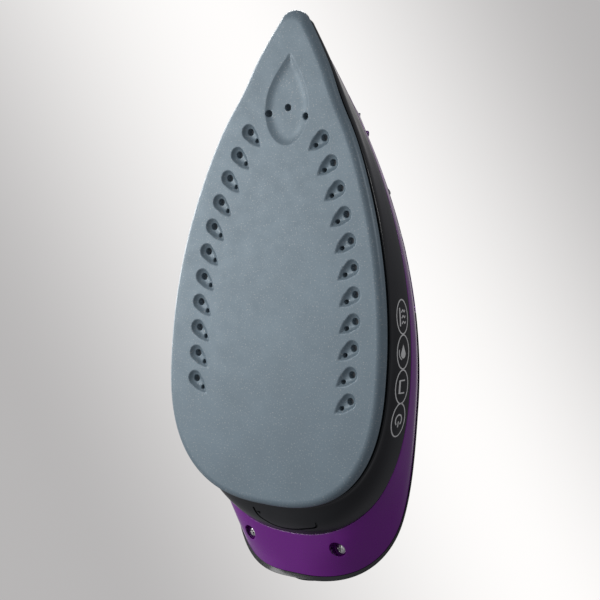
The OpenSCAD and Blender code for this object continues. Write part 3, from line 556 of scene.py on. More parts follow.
def drop_scale(local):
    """Scale of the teardrop that passes through each local point."""
    x, y = local[:, 0], np.abs(local[:, 1])
    flank = x * math.cos(DROP_SIDE) + y * math.sin(DROP_SIDE)
    point = x * DROP_KNEE_UP + y * (DROP_REACH - DROP_KNEE)
    side = np.maximum(flank / DROP_R, point / (DROP_REACH * DROP_KNEE_UP))
    return np.where(np.arctan2(y, x) < DROP_SIDE, side,
                    np.linalg.norm(local, axis=1) / DROP_R)


def leaf_outline(points=22):
    t = np.linspace(0, 1, points, endpoint=False)
    length = LEAF_FRONT - LEAF_REAR
    front = np.column_stack([LEAF_HALF * np.sin(t * math.pi / 2), LEAF_FRONT - 0.6 * length * t])
    turn = np.linspace(0, math.pi / 2, points + 1)
    back = np.column_stack([LEAF_HALF * np.cos(turn),
                            LEAF_REAR + 0.4 * length * (1 - np.sin(turn))])
    half = np.vstack([front, back])
    return np.vstack([half, half[-2:0:-1] * [-1, 1]])


def shrunk(outline, d):
    """A convex outline with every point moved in by d, square to its sides."""
    before, after = np.roll(outline, 1, 0), np.roll(outline, -1, 0)
    sides = [outline - before, after - outline]
    sides = [s / np.linalg.norm(s, axis=1, keepdims=True) for s in sides]
    normals = [np.column_stack([s[:, 1], -s[:, 0]]) for s in sides]
    middle = normals[0] + normals[1]
    length = np.linalg.norm(middle, axis=1, keepdims=True)
    cosine = np.maximum(length / 2, 0.45)
    return outline + middle / length * d / cosine


def inside_distance(points, outline):
    """Distance of each point to the outline, positive inside it."""
    ends = np.roll(outline, -1, 0)
    side = ends - outline
    offset = points[:, None, :] - outline[None]
    t = np.clip((offset * side).sum(2) / (side * side).sum(1), 0, 1)
    gap = np.linalg.norm(offset - t[..., None] * side, axis=2).min(1)
    above = (outline[:, 1] > points[:, 1:2]) != (ends[:, 1] > points[:, 1:2])
    rise = np.where(np.abs(side[:, 1]) < 1e-9, 1e-9, side[:, 1])
    cross_x = outline[:, 0] + (points[:, 1:2] - outline[:, 1]) * side[:, 0] / rise
    crossings = (above & (points[:, 0:1] < cross_x)).sum(1)
    return np.where(crossings % 2 == 1, gap, -gap)


def dish(d, depth, slope):
    """Depth of a recess at distance d inside its edge: steep at first, then flat."""
    t = np.sqrt((d / slope) ** 2 + 0.006) - 0.0775
    return np.where(d > 0, depth * (1 - (1 - np.clip(t, 0, 1)) ** 2), 0.0)


VENTS = vent_places()
LEAF = leaf_outline()
TIP_HOLES = [(0, TIP_Y - 44.5), (10.1, TIP_Y - 47.9), (-10.1, TIP_Y - 47.9)]


def to_vent(points, vent):
    """Points turned into a teardrop's own axes."""
    centre, along = vent
    across = np.array([-along[1], along[0]])
    return np.column_stack([(points - centre) @ along, (points - centre) @ across])


def from_vent(local, vent):
    centre, along = vent
    return centre + local[:, :1] * along + local[:, 1:] * np.array([-along[1], along[0]])


def recess_depth(points):
    """Height of the ironing face above the floor at each point."""
    depth = dish(inside_distance(points, LEAF), LEAF_DEPTH, LEAF_SLOPE)
    for vent in VENTS:
        inner = DROP_R * (1 - drop_scale(to_vent(points, vent)))
        depth = depth + dish(inner, DROP_DEPTH, DROP_SLOPE)
    return depth


def steam_holes():
    """Centre, radius and number of sides of every hole through the sole."""
    holes = [(np.array(c, float), VENT_R, VENT_SIDES) for c in TIP_HOLES]
    for vent in VENTS:
        small = from_vent(np.array([[VENT_SMALL_AT, 0.0]]), vent)[0]
        holes += [(vent[0], VENT_R, VENT_SIDES), (small, VENT_SMALL_R, VENT_SMALL_SIDES)]
    return holes


def circle(centre, radius, sides):
    turn = np.linspace(0, 2 * math.pi, sides, endpoint=False)
    return centre + radius * np.column_stack([np.cos(turn), np.sin(turn)])


def pierced(boundary, loops, loose, holes, lip):
    """Triangles over a boundary with round holes, following loops and loose points."""
    clear = np.ones(len(loose), bool)
    for centre, radius, _ in holes:
        clear &= np.linalg.norm(loose - centre, axis=1) > radius + lip + 0.15
    rims = [circle(c, r + lip, n) for c, r, n in holes]
    points, edges = [boundary], []
    start = len(boundary)
    edges += [(i, (i + 1) % start) for i in range(start)]
    for loop in loops + rims:
        edges += [(start + i, start + (i + 1) % len(loop)) for i in range(len(loop))]
        points.append(loop)
        start += len(loop)
    points.append(loose[clear])
    flat = [Vector(p) for p in np.vstack(points)]
    face = [list(range(len(boundary)))]
    made, _, triangles, _, _, _ = delaunay_2d_cdt(flat, edges, face, 1, 1e-4)
    made = np.array([tuple(p) for p in made])
    triangles = np.array([t for t in triangles if len(t) == 3])
    middle = made[triangles].mean(1)
    keep = np.ones(len(triangles), bool)
    for centre, radius, _ in holes:
        keep &= np.linalg.norm(middle - centre, axis=1) > (radius + lip) * 0.985
    return made, [tuple(int(v) for v in t) for t in triangles[keep]]


def build_sole():
    holes = steam_holes()
    low_ring = SOLE.inset(RIM_R).outline()
    loops, loose = [LEAF], [SOLE.inset(RIM_R + d).outline() for d in (0.4, 1.2, 3)]
    for d in (-0.9, -0.35, 0.25, 0.6, 1.0, 1.5, 2.1, 2.9, 4.0, 5.5):
        loose.append(shrunk(LEAF, d))
    for vent in VENTS:
        loops.append(from_vent(drop_outline(1.0), vent))
        for scale in (1.25, 1.09, 0.95, 0.89, 0.82, 0.74, 0.65, 0.55, 0.44, 0.3):
            loose.append(from_vent(drop_outline(scale), vent))
    loose = np.vstack(loose)
    grid = np.stack(np.meshgrid(np.arange(-60, 61, 4.0), np.arange(-95, 140, 4.0)), -1)
    grid = grid.reshape(-1, 2) + [0.7, 0.3]
    calm = inside_distance(grid, low_ring) > 4.5
    calm &= inside_distance(grid, LEAF) < -1.5
    for vent in VENTS:
        calm &= drop_scale(to_vent(grid, vent)) > 1.5
    loose = np.vstack([loose, grid[calm]])
    flat, faces = pierced(low_ring, loops, loose, holes, HOLE_LIP)
    bottom = np.column_stack([flat, recess_depth(flat)])
    shapes = [(bottom, faces)]
    turn = np.linspace(0, math.pi / 2, 9)
    rim = [ring(SOLE, RIM_R * (1 - math.cos(a)), RIM_R * (1 - math.sin(a))) for a in turn]
    rim += rounded([ring(SOLE, SOLE_T - 1.5), ring(SOLE, SOLE_T), ring(SOLE, SOLE_T, 1.2)],
                   [0, 0.6, 0], closed=False)
    columns = len(low_ring)
    shapes.append((np.vstack(rim), bands(len(rim), columns, False)))
    flat, faces = pierced(SOLE.inset(1.2).outline(), [], grid[calm], holes, 0)
    shapes.append((np.column_stack([flat, np.full(len(flat), SOLE_T)]), faces))
    for centre, radius, sides in holes:
        edge = circle(centre, radius + HOLE_LIP, sides)
        z = recess_depth(edge)
        rows = [np.column_stack([circle(centre, radius + wide, sides), z + up])
                for wide, up in ((HOLE_LIP, 0), (0.1, 0.1), (0, 0.35))]
        rows.append(np.column_stack([circle(centre, radius, sides), np.full(sides, SOLE_T)]))
        shapes.append((np.vstack(rows), bands(4, sides, False)))
    mesh = as_mesh("sole", *joined(shapes), sharp=60)
    piece = place("sole", mesh, FINISHES["sole_coating"], "sole_coating",
                  replaces=["soleplate"])
    even_normals(piece)


build_sole()


# ---- skirt, body and upper shells --------------------------------------------
def sleeve(name, rings, cuts, steps=4):
    """An open sleeve from rings that run up the outside and down the inside."""
    rows = rounded(rings, cuts, steps=steps)
    return as_mesh(name, np.vstack(rows), bands(len(rows), len(rows[0]), True))


def skirt_ring(d, lift):
    base = ring(SKIRT, skirt_z, d)
    base[:, 2] += lift * smooth((-70 - base[:, 1]) / 30)
    return base


def bulge_ring(d, lift):
    base = ring(BULGE, bulge_z, d)
    base[:, 2] += lift * smooth((-80 - base[:, 1]) / 30)
    return base


# Route of the groove in the heel ledge, and the small arrow beside its start
GROOVE = [(14.1, -98.4), (12.8, -102.4), (10.2, -104.6), (5, -107.0), (-3.3, -107.3),
          (-12.7, -105.4), (-18.6, -103.6), (-20, -100.8)]
ARROW = [(13.0, -100.2), (10.2, -100.0), (11.0, -101.6)]
GROOVE_W, GROOVE_DEPTH, CUTTER_PROUD = 1.1, 1.1, 2.0
ARROW_DEPTH, ARROW_PROUD = 0.5, 1.5


def smooth_path(points, per_span=8, tightness=0.5):
    """A Catmull-Rom line through the points."""
    points = np.asarray(points, float)
    padded = np.vstack([points[0], points, points[-1]])
    out = []
    for a, b, c, d in zip(padded, padded[1:], padded[2:], padded[3:]):
        for t in np.linspace(0, 1, per_span, endpoint=False):
            out.append(b + tightness * ((c - a) * t + (2 * a - 5 * b + 4 * c - d) * t ** 2
                                        + (3 * b - a - 3 * c + d) * t ** 3))
    return np.array(out + [points[-1]])


def build_skirt():
    rings = [ring(HEM, HEM_Z), ring(HEM, HEM_Z + 2.5), ring(LEDGE, ledge_z),
             skirt_ring(0, 0), skirt_ring(WALL, 0), ring(LEDGE, ledge_z, WALL + 0.6, 2.6),
             ring(HEM, HEM_Z + 3.2, WALL + 0.6), ring(HEM, HEM_Z, WALL)]
    mesh = sleeve("skirt", rings, [0.7, 2, 7, 0.5, 0.5, 3, 1.5, 0.7], steps=6)
    below = Surface(mesh)
    path = smooth_path(GROOVE)
    places, normals = below.meet([(x, y, RAY_UNDER) for x, y in path], (0, 0, 1))
    cutters = [stroke(places, normals, GROOVE_W, CUTTER_PROUD, GROOVE_DEPTH)]
    places, normals = below.meet([(x, y, RAY_UNDER) for x, y in ARROW], (0, 0, 1))
    prism = np.vstack([places - ARROW_DEPTH * normals, places + ARROW_PROUD * normals])
    cutters.append((prism, [(0, 1, 2), (5, 4, 3), (0, 3, 4, 1), (1, 4, 5, 2), (2, 5, 3, 0)]))
    mesh = carve(mesh, cutters)
    place("skirt_shell", mesh, FINISHES["black_gloss"], "black_gloss", replaces=["skirt"])
    return Surface(mesh)


skirt_surface = build_skirt()

# Printed symbols on the skirt's flanks, each in an oval, from the front to the rear
PRINT_Z = 19.0
SYMBOL_YS = (0.5, -15.5, -31.5, -47)
OVAL_HALF_L, OVAL_HALF_H = 7.75, 5.25
LINE_W = 0.62
PRINT_RISE, PRINT_SINK = 0.05, 0.15


def drawn(*corners, step=0.4):
    """A line through corners, with a point at every step."""
    corners = np.array(corners, float)
    rows = []
    for a, b in zip(corners, corners[1:]):
        count = max(int(np.linalg.norm(b - a) / step), 1)
        rows.append(a + (b - a) * np.linspace(0, 1, count, endpoint=False)[:, None])
    return np.vstack(rows + [corners[-1:]])


def arc(radius, a0, a1, points=26):
    turn = np.radians(np.linspace(a0, a1, points))
    return np.column_stack([radius * np.cos(turn), radius * np.sin(turn)])


def steam_symbol():
    rise = np.linspace(-0.9, 2.9, 18)
    waves = [np.column_stack([a + 0.45 * np.sin(rise * 2.4), rise]) for a in (-2.6, 0, 2.6)]
    return [(wave, LINE_W) for wave in waves] + [(drawn((-4.2, -2.3), (4.2, -2.3)), 1.0)]


def drop_symbol():
    along = np.linspace(-3.0, 3.4, 30)
    ball, middle = 2.1, -0.9
    wide = np.sqrt(np.maximum(ball ** 2 - (along - middle) ** 2, 0))
    taper = 2.02 * np.clip((3.4 - along) / 3.9, 0, 1)
    width = 2 * np.where(along < -0.5, wide, taper)
    return [(np.column_stack([along, np.zeros(30)]), np.maximum(width, 0.05)),
            (arc(3.6, 200, 290), LINE_W)]


def tank_symbol():
    return [(drawn((-3.1, -1.9), (3.1, -1.9)), 1.4), (drawn((-2.9, -1.9), (-2.9, 2.3)), LINE_W),
            (drawn((2.9, -1.9), (2.9, 2.3)), LINE_W)]


def standby_symbol():
    return [(arc(2.5, -145, 145), 0.75), (drawn((-3.4, 0), (-0.6, 0)), 0.75)]


def build_print():
    symbols = [steam_symbol(), drop_symbol(), tank_symbol(), standby_symbol()]
    oval = arc(1, 0, 360, 65)[:-1] * [OVAL_HALF_L, OVAL_HALF_H]
    for side, name in ((-1, "left"), (1, "right")):
        shapes = []
        for y, symbol in zip(SYMBOL_YS, symbols):
            for path, width in [(oval, LINE_W)] + symbol:
                starts = [(side * RAY_BESIDE, y + a, PRINT_Z + b) for a, b in path]
                places, normals = skirt_surface.meet(starts, (-side, 0, 0))
                shapes.append(stroke(places, normals, width, PRINT_RISE, PRINT_SINK,
                                     closed=path is oval))
        mesh = as_mesh("print_" + name, *joined(shapes), weld=False)
        place("skirt_print_" + name, mesh, WHITE_PRINT, "white_plastic")


build_print()


def plus_prism(reach, half, z0, z1, taper=1.0):
    """A cross-shaped prism about Z, drawn in at its far end by taper."""
    quarter = np.array([(reach, half), (half, half), (half, reach)])
    corners = []
    for turn in range(4):
        c, s = math.cos(turn * math.pi / 2), math.sin(turn * math.pi / 2)
        corners += [(c * x - s * y, s * x + c * y) for x, y in quarter]
    corners = np.array(corners)
    n = len(corners)
    rows = np.vstack([np.column_stack([corners, np.full(n, z0)]),
                      np.column_stack([corners * taper, np.full(n, z1)])])
    return rows, bands(2, n, False) + [tuple(range(n))[::-1], tuple(range(n, 2 * n))]


def screw(head_r, height, reach, shank_r=1.5):
    """A domed cross-head screw along +Z, its head's crown at z = 0 and its seat above."""
    turn = np.linspace(0.02, math.pi / 2, 9)
    crown = [(head_r * math.sin(a), 0.62 * height * (1 - math.cos(a))) for a in turn]
    body = crown + [(head_r, height - 0.15), (head_r - 0.15, height), (shank_r, height),
                    (shank_r, reach)]
    cross = plus_prism(head_r * 0.62, head_r * 0.15, -1, min(height * 0.8, 1.3), 0.7)
    mesh = carve(as_mesh("screw", *turned(body, 40), sharp=35), [cross])
    return soften(mesh, lambda p: p.z < 0.3 and math.hypot(p.x, p.y) < head_r * 0.8, 0.08)


def placed(mesh, at, tilt=0.0):
    """The points and faces of a finished mesh, tilted about X and moved."""
    points = np.array([tuple(v.co / MM) for v in mesh.vertices])
    return moved((points, [tuple(p.vertices) for p in mesh.polygons]), at, tilt)


WELL_X, WELL_Y, WELL_TOP, WELL_R = 24.9, HEEL_Y + 21.7, 33.0, 3.7
SHANK_HOLE_R = 1.75
SIDES = 40


def build_body():
    rings = [skirt_ring(-0.1, SEAM), bulge_ring(0, 0), ring(BELT, belt_z),
             ring(BELT, belt_z, WALL, -0.5), bulge_ring(WALL, WALL),
             skirt_ring(WALL, WALL + SEAM)]
    mesh = sleeve("body", rings, [0.5, 8, 0.5, 0.4, 5, 0.4], steps=8)
    outside = Surface(mesh)
    wells = [moved(cylinder(WELL_R, 10, WELL_TOP, SIDES), (side * WELL_X, WELL_Y, 0))
             for side in (-1, 1)]
    mesh = carve(mesh, wells)
    mesh = soften(mesh, lambda p: abs(math.hypot(abs(p.x) - WELL_X, p.y - WELL_Y) - WELL_R)
                  < 0.25 and p.z < WELL_TOP, 0.3)
    place("body_cover", mesh, FINISHES["purple_gloss"], "purple_gloss",
          replaces=["body_shell"])
    build_wells(outside)
    build_screws()


def build_wells(outside):
    """The liner of each screw well, from its mouth in the body up to the screw's seat."""
    for side, name in ((-1, "left"), (1, "right")):
        centre = np.array([side * WELL_X, WELL_Y])
        mouth_z = under_z(outside, circle(centre, WELL_R, SIDES))
        rows = []
        for radius, z in ((WELL_R + 1.4, mouth_z + 1.2), (WELL_R, mouth_z + 0.5),
                          (WELL_R, WELL_TOP - 0.5), (WELL_R - 0.5, WELL_TOP),
                          (SHANK_HOLE_R, WELL_TOP), (SHANK_HOLE_R, WELL_TOP + 2.5),
                          (WELL_R + 1.4, WELL_TOP + 2.5)):
            rows.append(np.column_stack([circle(centre, radius, SIDES),
                                         np.broadcast_to(z, SIDES)]))
        cup = as_mesh("well_" + name, np.vstack(rows), bands(len(rows), SIDES, True))
        place("heel_well_" + name, cup, FINISHES["purple_gloss"], "purple_gloss")


def build_screws():
    """The two heel screws in their wells and the two that hold the rear cover."""
    low, high = cad_mm("heel_screws")
    made = screw(2.9, 1.85, high.z - low.z)
    pair = [placed(made, (side * WELL_X, WELL_Y, low.z)) for side in (-1, 1)]
    place("heel_screw_pair", as_mesh("heel_screws", *joined(pair), sharp=35),
          FINISHES["steel"], "steel", replaces=["heel_screws"])
    low, high = cad_mm("rear_cover_screws")
    head_r = 2.8
    made = screw(head_r, 0.95, high.y - low.y)
    pair = [placed(made, (0, low.y, z), -math.pi / 2)
            for z in (low.z + head_r, high.z - head_r)]
    place("rear_screw_pair", as_mesh("rear_screws", *joined(pair), sharp=35),
          FINISHES["steel"], "steel", replaces=["rear_cover_screws"])


build_body()

TANK_BACK_Y = 0.15
FILLER_Y, FILLER_R = 72, 6.5
VALVE_Y, FEED_X, FEED_Y, NOZZLE_Y = 44, 8, 36, 87.2
LID_PIN_Y = 81.4
LUG_SIDES_X, LUG_HALF_Y, LUG_UP, LUG_ROUND = (5.4, 7.2), 1.6, 3.2, 1.5
DIAL_Y = -38
COVER_MID_Z, COVER_HALF_W, COVER_HALF_H = 68, 13.5, 30
COVER_INNER_Y = HEEL_Y + 6.8


def upper_shell():
    """The cup that makes the tank in front and the rear housing behind."""
    deck1_z, deck2_z = BELT_Z + 6, DECK_Z - 2.5
    rings = [ring(DECK3, DECK_Z, 8), ring(DECK3, DECK_Z), ring(DECK2, deck2_z),
             ring(DECK1, deck1_z), ring(RIM, rim_z, 0, 0.8), ring(RIM, rim_z),
             ring(BELT, belt_z, 0.1, SEAM), ring(BELT, belt_z, WALL, SEAM - 0.4),
             ring(RIM, rim_z, WALL + 1, 2.4), ring(DECK1, deck1_z - 1, WALL),
             ring(DECK2, deck2_z - 1.4, WALL), ring(DECK3, DECK_Z - WALL, WALL)]
    cuts = [0, 2.5, 3, 5, 0.7, 0.4, 0.3, 0.3, 1, 2, 1, 0]
    rows = rounded(rings, cuts, closed=False, steps=6)
    columns = len(rows[0])
    last = (len(rows) - 1) * columns
    faces = bands(len(rows), columns, False)
    faces += mirrored_cap(0, columns) + mirrored_cap(last, columns)
    return np.vstack(rows), faces


def half_shell(name, shape, y, keep_front):
    """The part of a closed shape on one side of a plane across Y, closed again."""
    mesh = as_mesh(name, *shape)
    bm = bmesh.new()
    bm.from_mesh(mesh)
    cut = bmesh.ops.bisect_plane(bm, geom=bm.verts[:] + bm.edges[:] + bm.faces[:],
                                 plane_co=(0, y * MM, 0), plane_no=(0, 1, 0),
                                 clear_inner=keep_front, clear_outer=not keep_front)
    edges = [e for e in cut["geom_cut"] if isinstance(e, bmesh.types.BMEdge)]
    bmesh.ops.triangle_fill(bm, edges=edges, use_beauty=True, use_dissolve=False)
    bmesh.ops.recalc_face_normals(bm, faces=bm.faces)
    bm.to_mesh(mesh)
    bm.free()
    shade(mesh)
    return mesh


def oval_cutter(grow, y0, y1, sides=64):
    """A prism along Y with the rear cover's oval section."""
    turn = np.linspace(0, 2 * math.pi, sides, endpoint=False)
    x = (COVER_HALF_W + grow) * np.cos(turn)
    z = COVER_MID_Z + (COVER_HALF_H + grow) * np.sin(turn)
    rows = np.vstack([np.column_stack([x, np.full(sides, y), z]) for y in (y0, y1)])
    faces = bands(2, sides, False)
    return rows, faces + [tuple(range(sides)), tuple(range(2 * sides - 1, sides - 1, -1))]


def build_upper():
    shell = upper_shell()
    tank = half_shell("tank", shell, TANK_BACK_Y, True)
    holes = [moved(cylinder(FILLER_R, 50, 70), (0, FILLER_Y, 0))]
    for x, y, r in ((0, VALVE_Y, 2.2), (0, NOZZLE_Y, 1.6), (FEED_X, FEED_Y, 1.6),
                    (-FEED_X, FEED_Y, 1.6)):
        holes.append(moved(cylinder(r, 50, 70, 24), (x, y, 0)))
    tank = soften(carve(tank, holes),
                  lambda p: p.z > DECK_Z - 1 and math.hypot(p.x, p.y - FILLER_Y) < 7, 0.4)
    place("tank_cover", tank, FINISHES["tank_clear"], "tank_clear", replaces=["water_tank"])
    corners = [(-LUG_HALF_Y, DECK_Z - 1, 0), (LUG_HALF_Y, DECK_Z - 1, 0),
               (LUG_HALF_Y, DECK_Z + LUG_UP, LUG_ROUND), (-LUG_HALF_Y, DECK_Z + LUG_UP, LUG_ROUND)]
    loop = np.vstack(rounded([np.array([[y, z]], float) for y, z, _ in corners],
                             [cut for _, _, cut in corners]))
    count = len(loop)
    faces = bands(2, count, False) + [tuple(range(count)), tuple(range(count, 2 * count))]
    lugs = []
    for side in (-1, 1):
        rows = [np.column_stack([np.full(count, side * x), LID_PIN_Y + loop[:, 0], loop[:, 1]])
                for x in LUG_SIDES_X]
        lugs.append((np.vstack(rows), faces))
    place("lid_lugs", as_mesh("lugs", *joined(lugs)), FINISHES["tank_clear"], "tank_clear")
    rear = half_shell("rear", shell, -TANK_BACK_Y, False)
    cutters = [oval_cutter(SEAM, HEEL_Y - 5, COVER_INNER_Y + SEAM),
               moved(cylinder(3.05, 50, 70, 32), (0, DIAL_Y, 0))]
    rear = soften(carve(rear, cutters), lambda p: p.y < HEEL_Y + 9 and abs(p.x) < 16, 0.35)
    place("rear_housing", rear, FINISHES["black_gloss"], "black_gloss",
          replaces=["upper_housing"])


build_upper()

# ---- handle ------------------------------------------------------------------
# Centre line of the loop: y, z, half width and half thickness
HANDLE = np.array([(44, DECK_Z - 8, 21, 18), (43, DECK_Z + 6, 17.5, 17),
                   (35.5, DECK_Z + 18, 14.8, 16), (19.5, DECK_Z + 33.7, 13.2, 13.7),
                   (-14, DECK_Z + 46, 15, 12.6), (-60, DECK_Z + 49, 16, 13),
                   (-100, DECK_Z + 44.5, 16, 13), (-118, DECK_Z + 27, 17, 12),
                   (-121, DECK_Z + 8, 21, 12), (-121, DECK_Z - 8, 23, 12)], float)
HANDLE_END = len(HANDLE) - 1.001
NOSE_U, TAIL_U, SPLIT = 3.75, 6.1, 0.004
GRIP_U0, GRIP_U1, GRIP_PROUD = 3.5, 6.1, 1.5
STEAM_Y, SPRAY_Y, STEAM_TOP, SPRAY_TOP, BUTTON_R = 7, 23, 116.4, 110.6, 5.6
SELECTOR_AT, SELECTOR_TILT, SELECTOR_R = (0, 51.5, 85.5), math.radians(-58), 7.0
LAMP_Y = -84
GLAND_AT, GLAND_TILT, GLAND_R = (0, -112.5, 102), math.radians(42), 8.0


def centre_line(u):
    i = int(u)
    t = u - i
    a, b, c, d = (HANDLE[min(max(k, 0), len(HANDLE) - 1)] for k in range(i - 1, i + 3))
    return 0.5 * (2 * b + (c - a) * t + (2 * a - 5 * b + 4 * c - d) * t ** 2
                  + (3 * b - a - 3 * c + d) * t ** 3)


def handle_points(u, angles, grow):
    """Points round the handle at u, grown outwards by a number or one for each angle."""
    y, z, half_w, half_t = centre_line(u)
    step = centre_line(min(u + 0.05, HANDLE_END)) - centre_line(max(u - 0.05, 0))
    dy, dz = step[:2] / np.linalg.norm(step[:2])
    rise = (half_t + grow) * np.sin(angles)
    return np.column_stack([(half_w + grow) * np.cos(angles), y + rise * dz, z - rise * dy])


def handle_shell(u0, u1, a0, a1, grow, wall, rows, columns, edge=0.35, ridge=None):
    """One shell of the handle with half-round side lips and eased ends."""
    lip = wall / 2
    turn = lip / 15
    around = np.linspace(math.radians(a0) + turn, math.radians(a1) - turn, columns)
    fold = np.linspace(0, math.pi, 7)[1:-1]
    angles = np.concatenate([around, around[-1] + turn * np.sin(fold), around[::-1],
                             around[0] - turn * np.sin(fold)])
    depth = np.concatenate([np.zeros(columns), lip * (1 - np.cos(fold)),
                            np.full(columns, wall), lip * (1 + np.cos(fold))])
    squeeze = lip - depth
    length = edge / 38
    stations = [(u0, edge), (u0 + 0.3 * length, 0.3 * edge), (u0 + length, 0)]
    stations += [(u, 0) for u in np.linspace(u0, u1, rows)[1:-1]]
    stations += [(u1 - length, 0), (u1 - 0.3 * length, 0.3 * edge), (u1, edge)]
    sections = []
    for u, ease in stations:
        extra = grow - depth - ease * np.sign(squeeze)
        if ridge is not None and ease == 0:
            extra = extra - np.where(squeeze > 0, ridge(u, angles), 0)
        sections.append(handle_points(u, angles, extra))
    count = len(angles)
    faces = bands(len(sections), count, False)
    base = (len(sections) - 1) * count
    for start in (0, base):
        for i in range(columns - 1):
            j = 2 * columns + 4 - i
            faces.append((start + i, start + i + 1, start + j - 1, start + j))
        ends = [columns - 1, *range(columns, columns + 5), columns + 5]
        faces.append(tuple(start + k for k in ends))
        ends = [2 * columns + 4, *range(2 * columns + 5, 2 * columns + 10), 0]
        faces.append(tuple(start + k for k in ends))
    return np.vstack(sections), faces


def deck_cutter():
    """Everything below the deck, with room for the seam."""
    x, y = [-60, 60], [-180, 90]
    rows = [[(x[0], y[0], z), (x[1], y[0], z), (x[1], y[1], z), (x[0], y[1], z)]
            for z in (0, DECK_Z + SEAM)]
    faces = [(0, 1, 2, 3), (7, 6, 5, 4)] + bands(2, 4, False)
    return np.array(rows[0] + rows[1], float), faces


def grip_ridge(u, angles):
    """Shallow ribs across the underside of the grip."""
    return 0.35 * (0.5 + 0.5 * math.cos(2 * math.pi * u * 9)) ** 3 * np.ones(len(angles))


def build_handle():
    gloss, satin = FINISHES["black_gloss"], FINISHES["black_satin"]
    nose = as_mesh("nose", *handle_shell(0, NOSE_U - SPLIT, 1, 179, 0, WALL, 60, 49))
    cutters = [deck_cutter()]
    for y in (STEAM_Y, SPRAY_Y):
        cutters.append(moved(cylinder(BUTTON_R + 0.3, 96, 126), (0, y, 0)))
    cutters.append(moved(cylinder(SELECTOR_R + 0.6, -0.5, 20), SELECTOR_AT, SELECTOR_TILT))
    cutters.append(moved(cylinder(2.05, -20, 1, 24), SELECTOR_AT, SELECTOR_TILT))
    nose = soften(carve(nose, cutters), lambda p: p.z > DECK_Z + 8, 0.3)
    place("handle_nose_cover", nose, gloss, "black_gloss", replaces=["handle_nose"])
    top = as_mesh("top", *handle_shell(NOSE_U + SPLIT, TAIL_U - SPLIT, 1, 179, 0, WALL, 60, 49))
    top = carve(top, [moved(cylinder(4.1, 112, 130, 36), (0, LAMP_Y, 0))])
    top = soften(top, lambda p: math.hypot(p.x, p.y - LAMP_Y) < 4.4, 0.25)
    place("handle_top_cover", top, gloss, "black_gloss", replaces=["handle_top"])
    tail = as_mesh("tail", *handle_shell(TAIL_U + SPLIT, HANDLE_END, 1, 179, 0, WALL, 48, 49))
    cutters = [deck_cutter(), oval_cutter(SEAM, HEEL_Y - 5, COVER_INNER_Y + SEAM),
               moved(cylinder(GLAND_R + 0.05, -20, 20), GLAND_AT, GLAND_TILT)]
    tail = soften(carve(tail, cutters), lambda p: p.z > DECK_Z + 1, 0.3)
    place("handle_tail_cover", tail, gloss, "black_gloss", replaces=["handle_tail"])
    inner = as_mesh("inner", *handle_shell(0, HANDLE_END, 181, 359, 0, WALL, 120, 49))
    inner = carve(inner, [deck_cutter()])
    place("handle_inner", inner, satin, "black_gloss", replaces=["handle_frame"])
    grip = as_mesh("grip", *handle_shell(GRIP_U0, GRIP_U1, 205, 335, GRIP_PROUD, 1.35, 240, 33,
                                         ridge=grip_ridge))
    place("handle_soft_grip", grip, FINISHES["grip_rubber"], "grip_rubber",
          replaces=["handle_grip"])


build_handle()


# ---- controls ----------------------------------------------------------------
DIAL_R, DIAL_GRIPS, DIAL_DEPTH = 18.94, 30, 0.55
SELECTOR_GRIPS = 12


def grips(count, depth, outer, low, high):
    """Scallops round the rim of a knob, only between two heights."""
    def flute(angles, radius, z):
        if radius < outer - 0.4 or not low <= z <= high:
            return 0 * angles
        return depth * (0.5 + 0.5 * np.cos(count * angles)) ** 3
    return flute


def bar(length, width, z0, z1, at_y, cut=0.35):
    """A raised bar along Y with rounded edges on top."""
    corners = [np.array([[x, y]], float) for x, y in
               ((-width / 2, -length / 2), (width / 2, -length / 2),
                (width / 2, length / 2), (-width / 2, length / 2))]
    loop = np.vstack(rounded(corners, [width / 2.2] * 4))
    rows = [np.column_stack([loop * (1 - shrink / width), np.full(len(loop), z)])
            for shrink, z in ((0, z0), (0, z1 - cut), (cut * 0.6, z1 - cut * 0.3),
                              (cut * 1.6, z1))]
    n = len(loop)
    faces = bands(len(rows), n, False)
    faces += [tuple(range(n))[::-1], tuple(range(3 * n, 4 * n))]
    points = np.vstack(rows) + [0, at_y, 0]
    return points, faces


def button(y, top, stem):
    """A push button: dished crown, skirt, stem and foot."""
    foot = top - 8 - stem
    shape = [(2.4, foot, 0.2), (2.4, foot + 1.5, 0.2), (1.4, foot + 1.6, 0.1),
             (1.4, top - 8, 0.2), (BUTTON_R, top - 8, 0.3), (BUTTON_R, top - 1.1, 1.0),
             (BUTTON_R - 1.9, top, 0.6), (1.6, top - 0.55, 1.2), (0.05, top - 0.6, 0)]
    return moved(turned([(2.0, foot)] + profile(shape), 56), (0, y, 0))


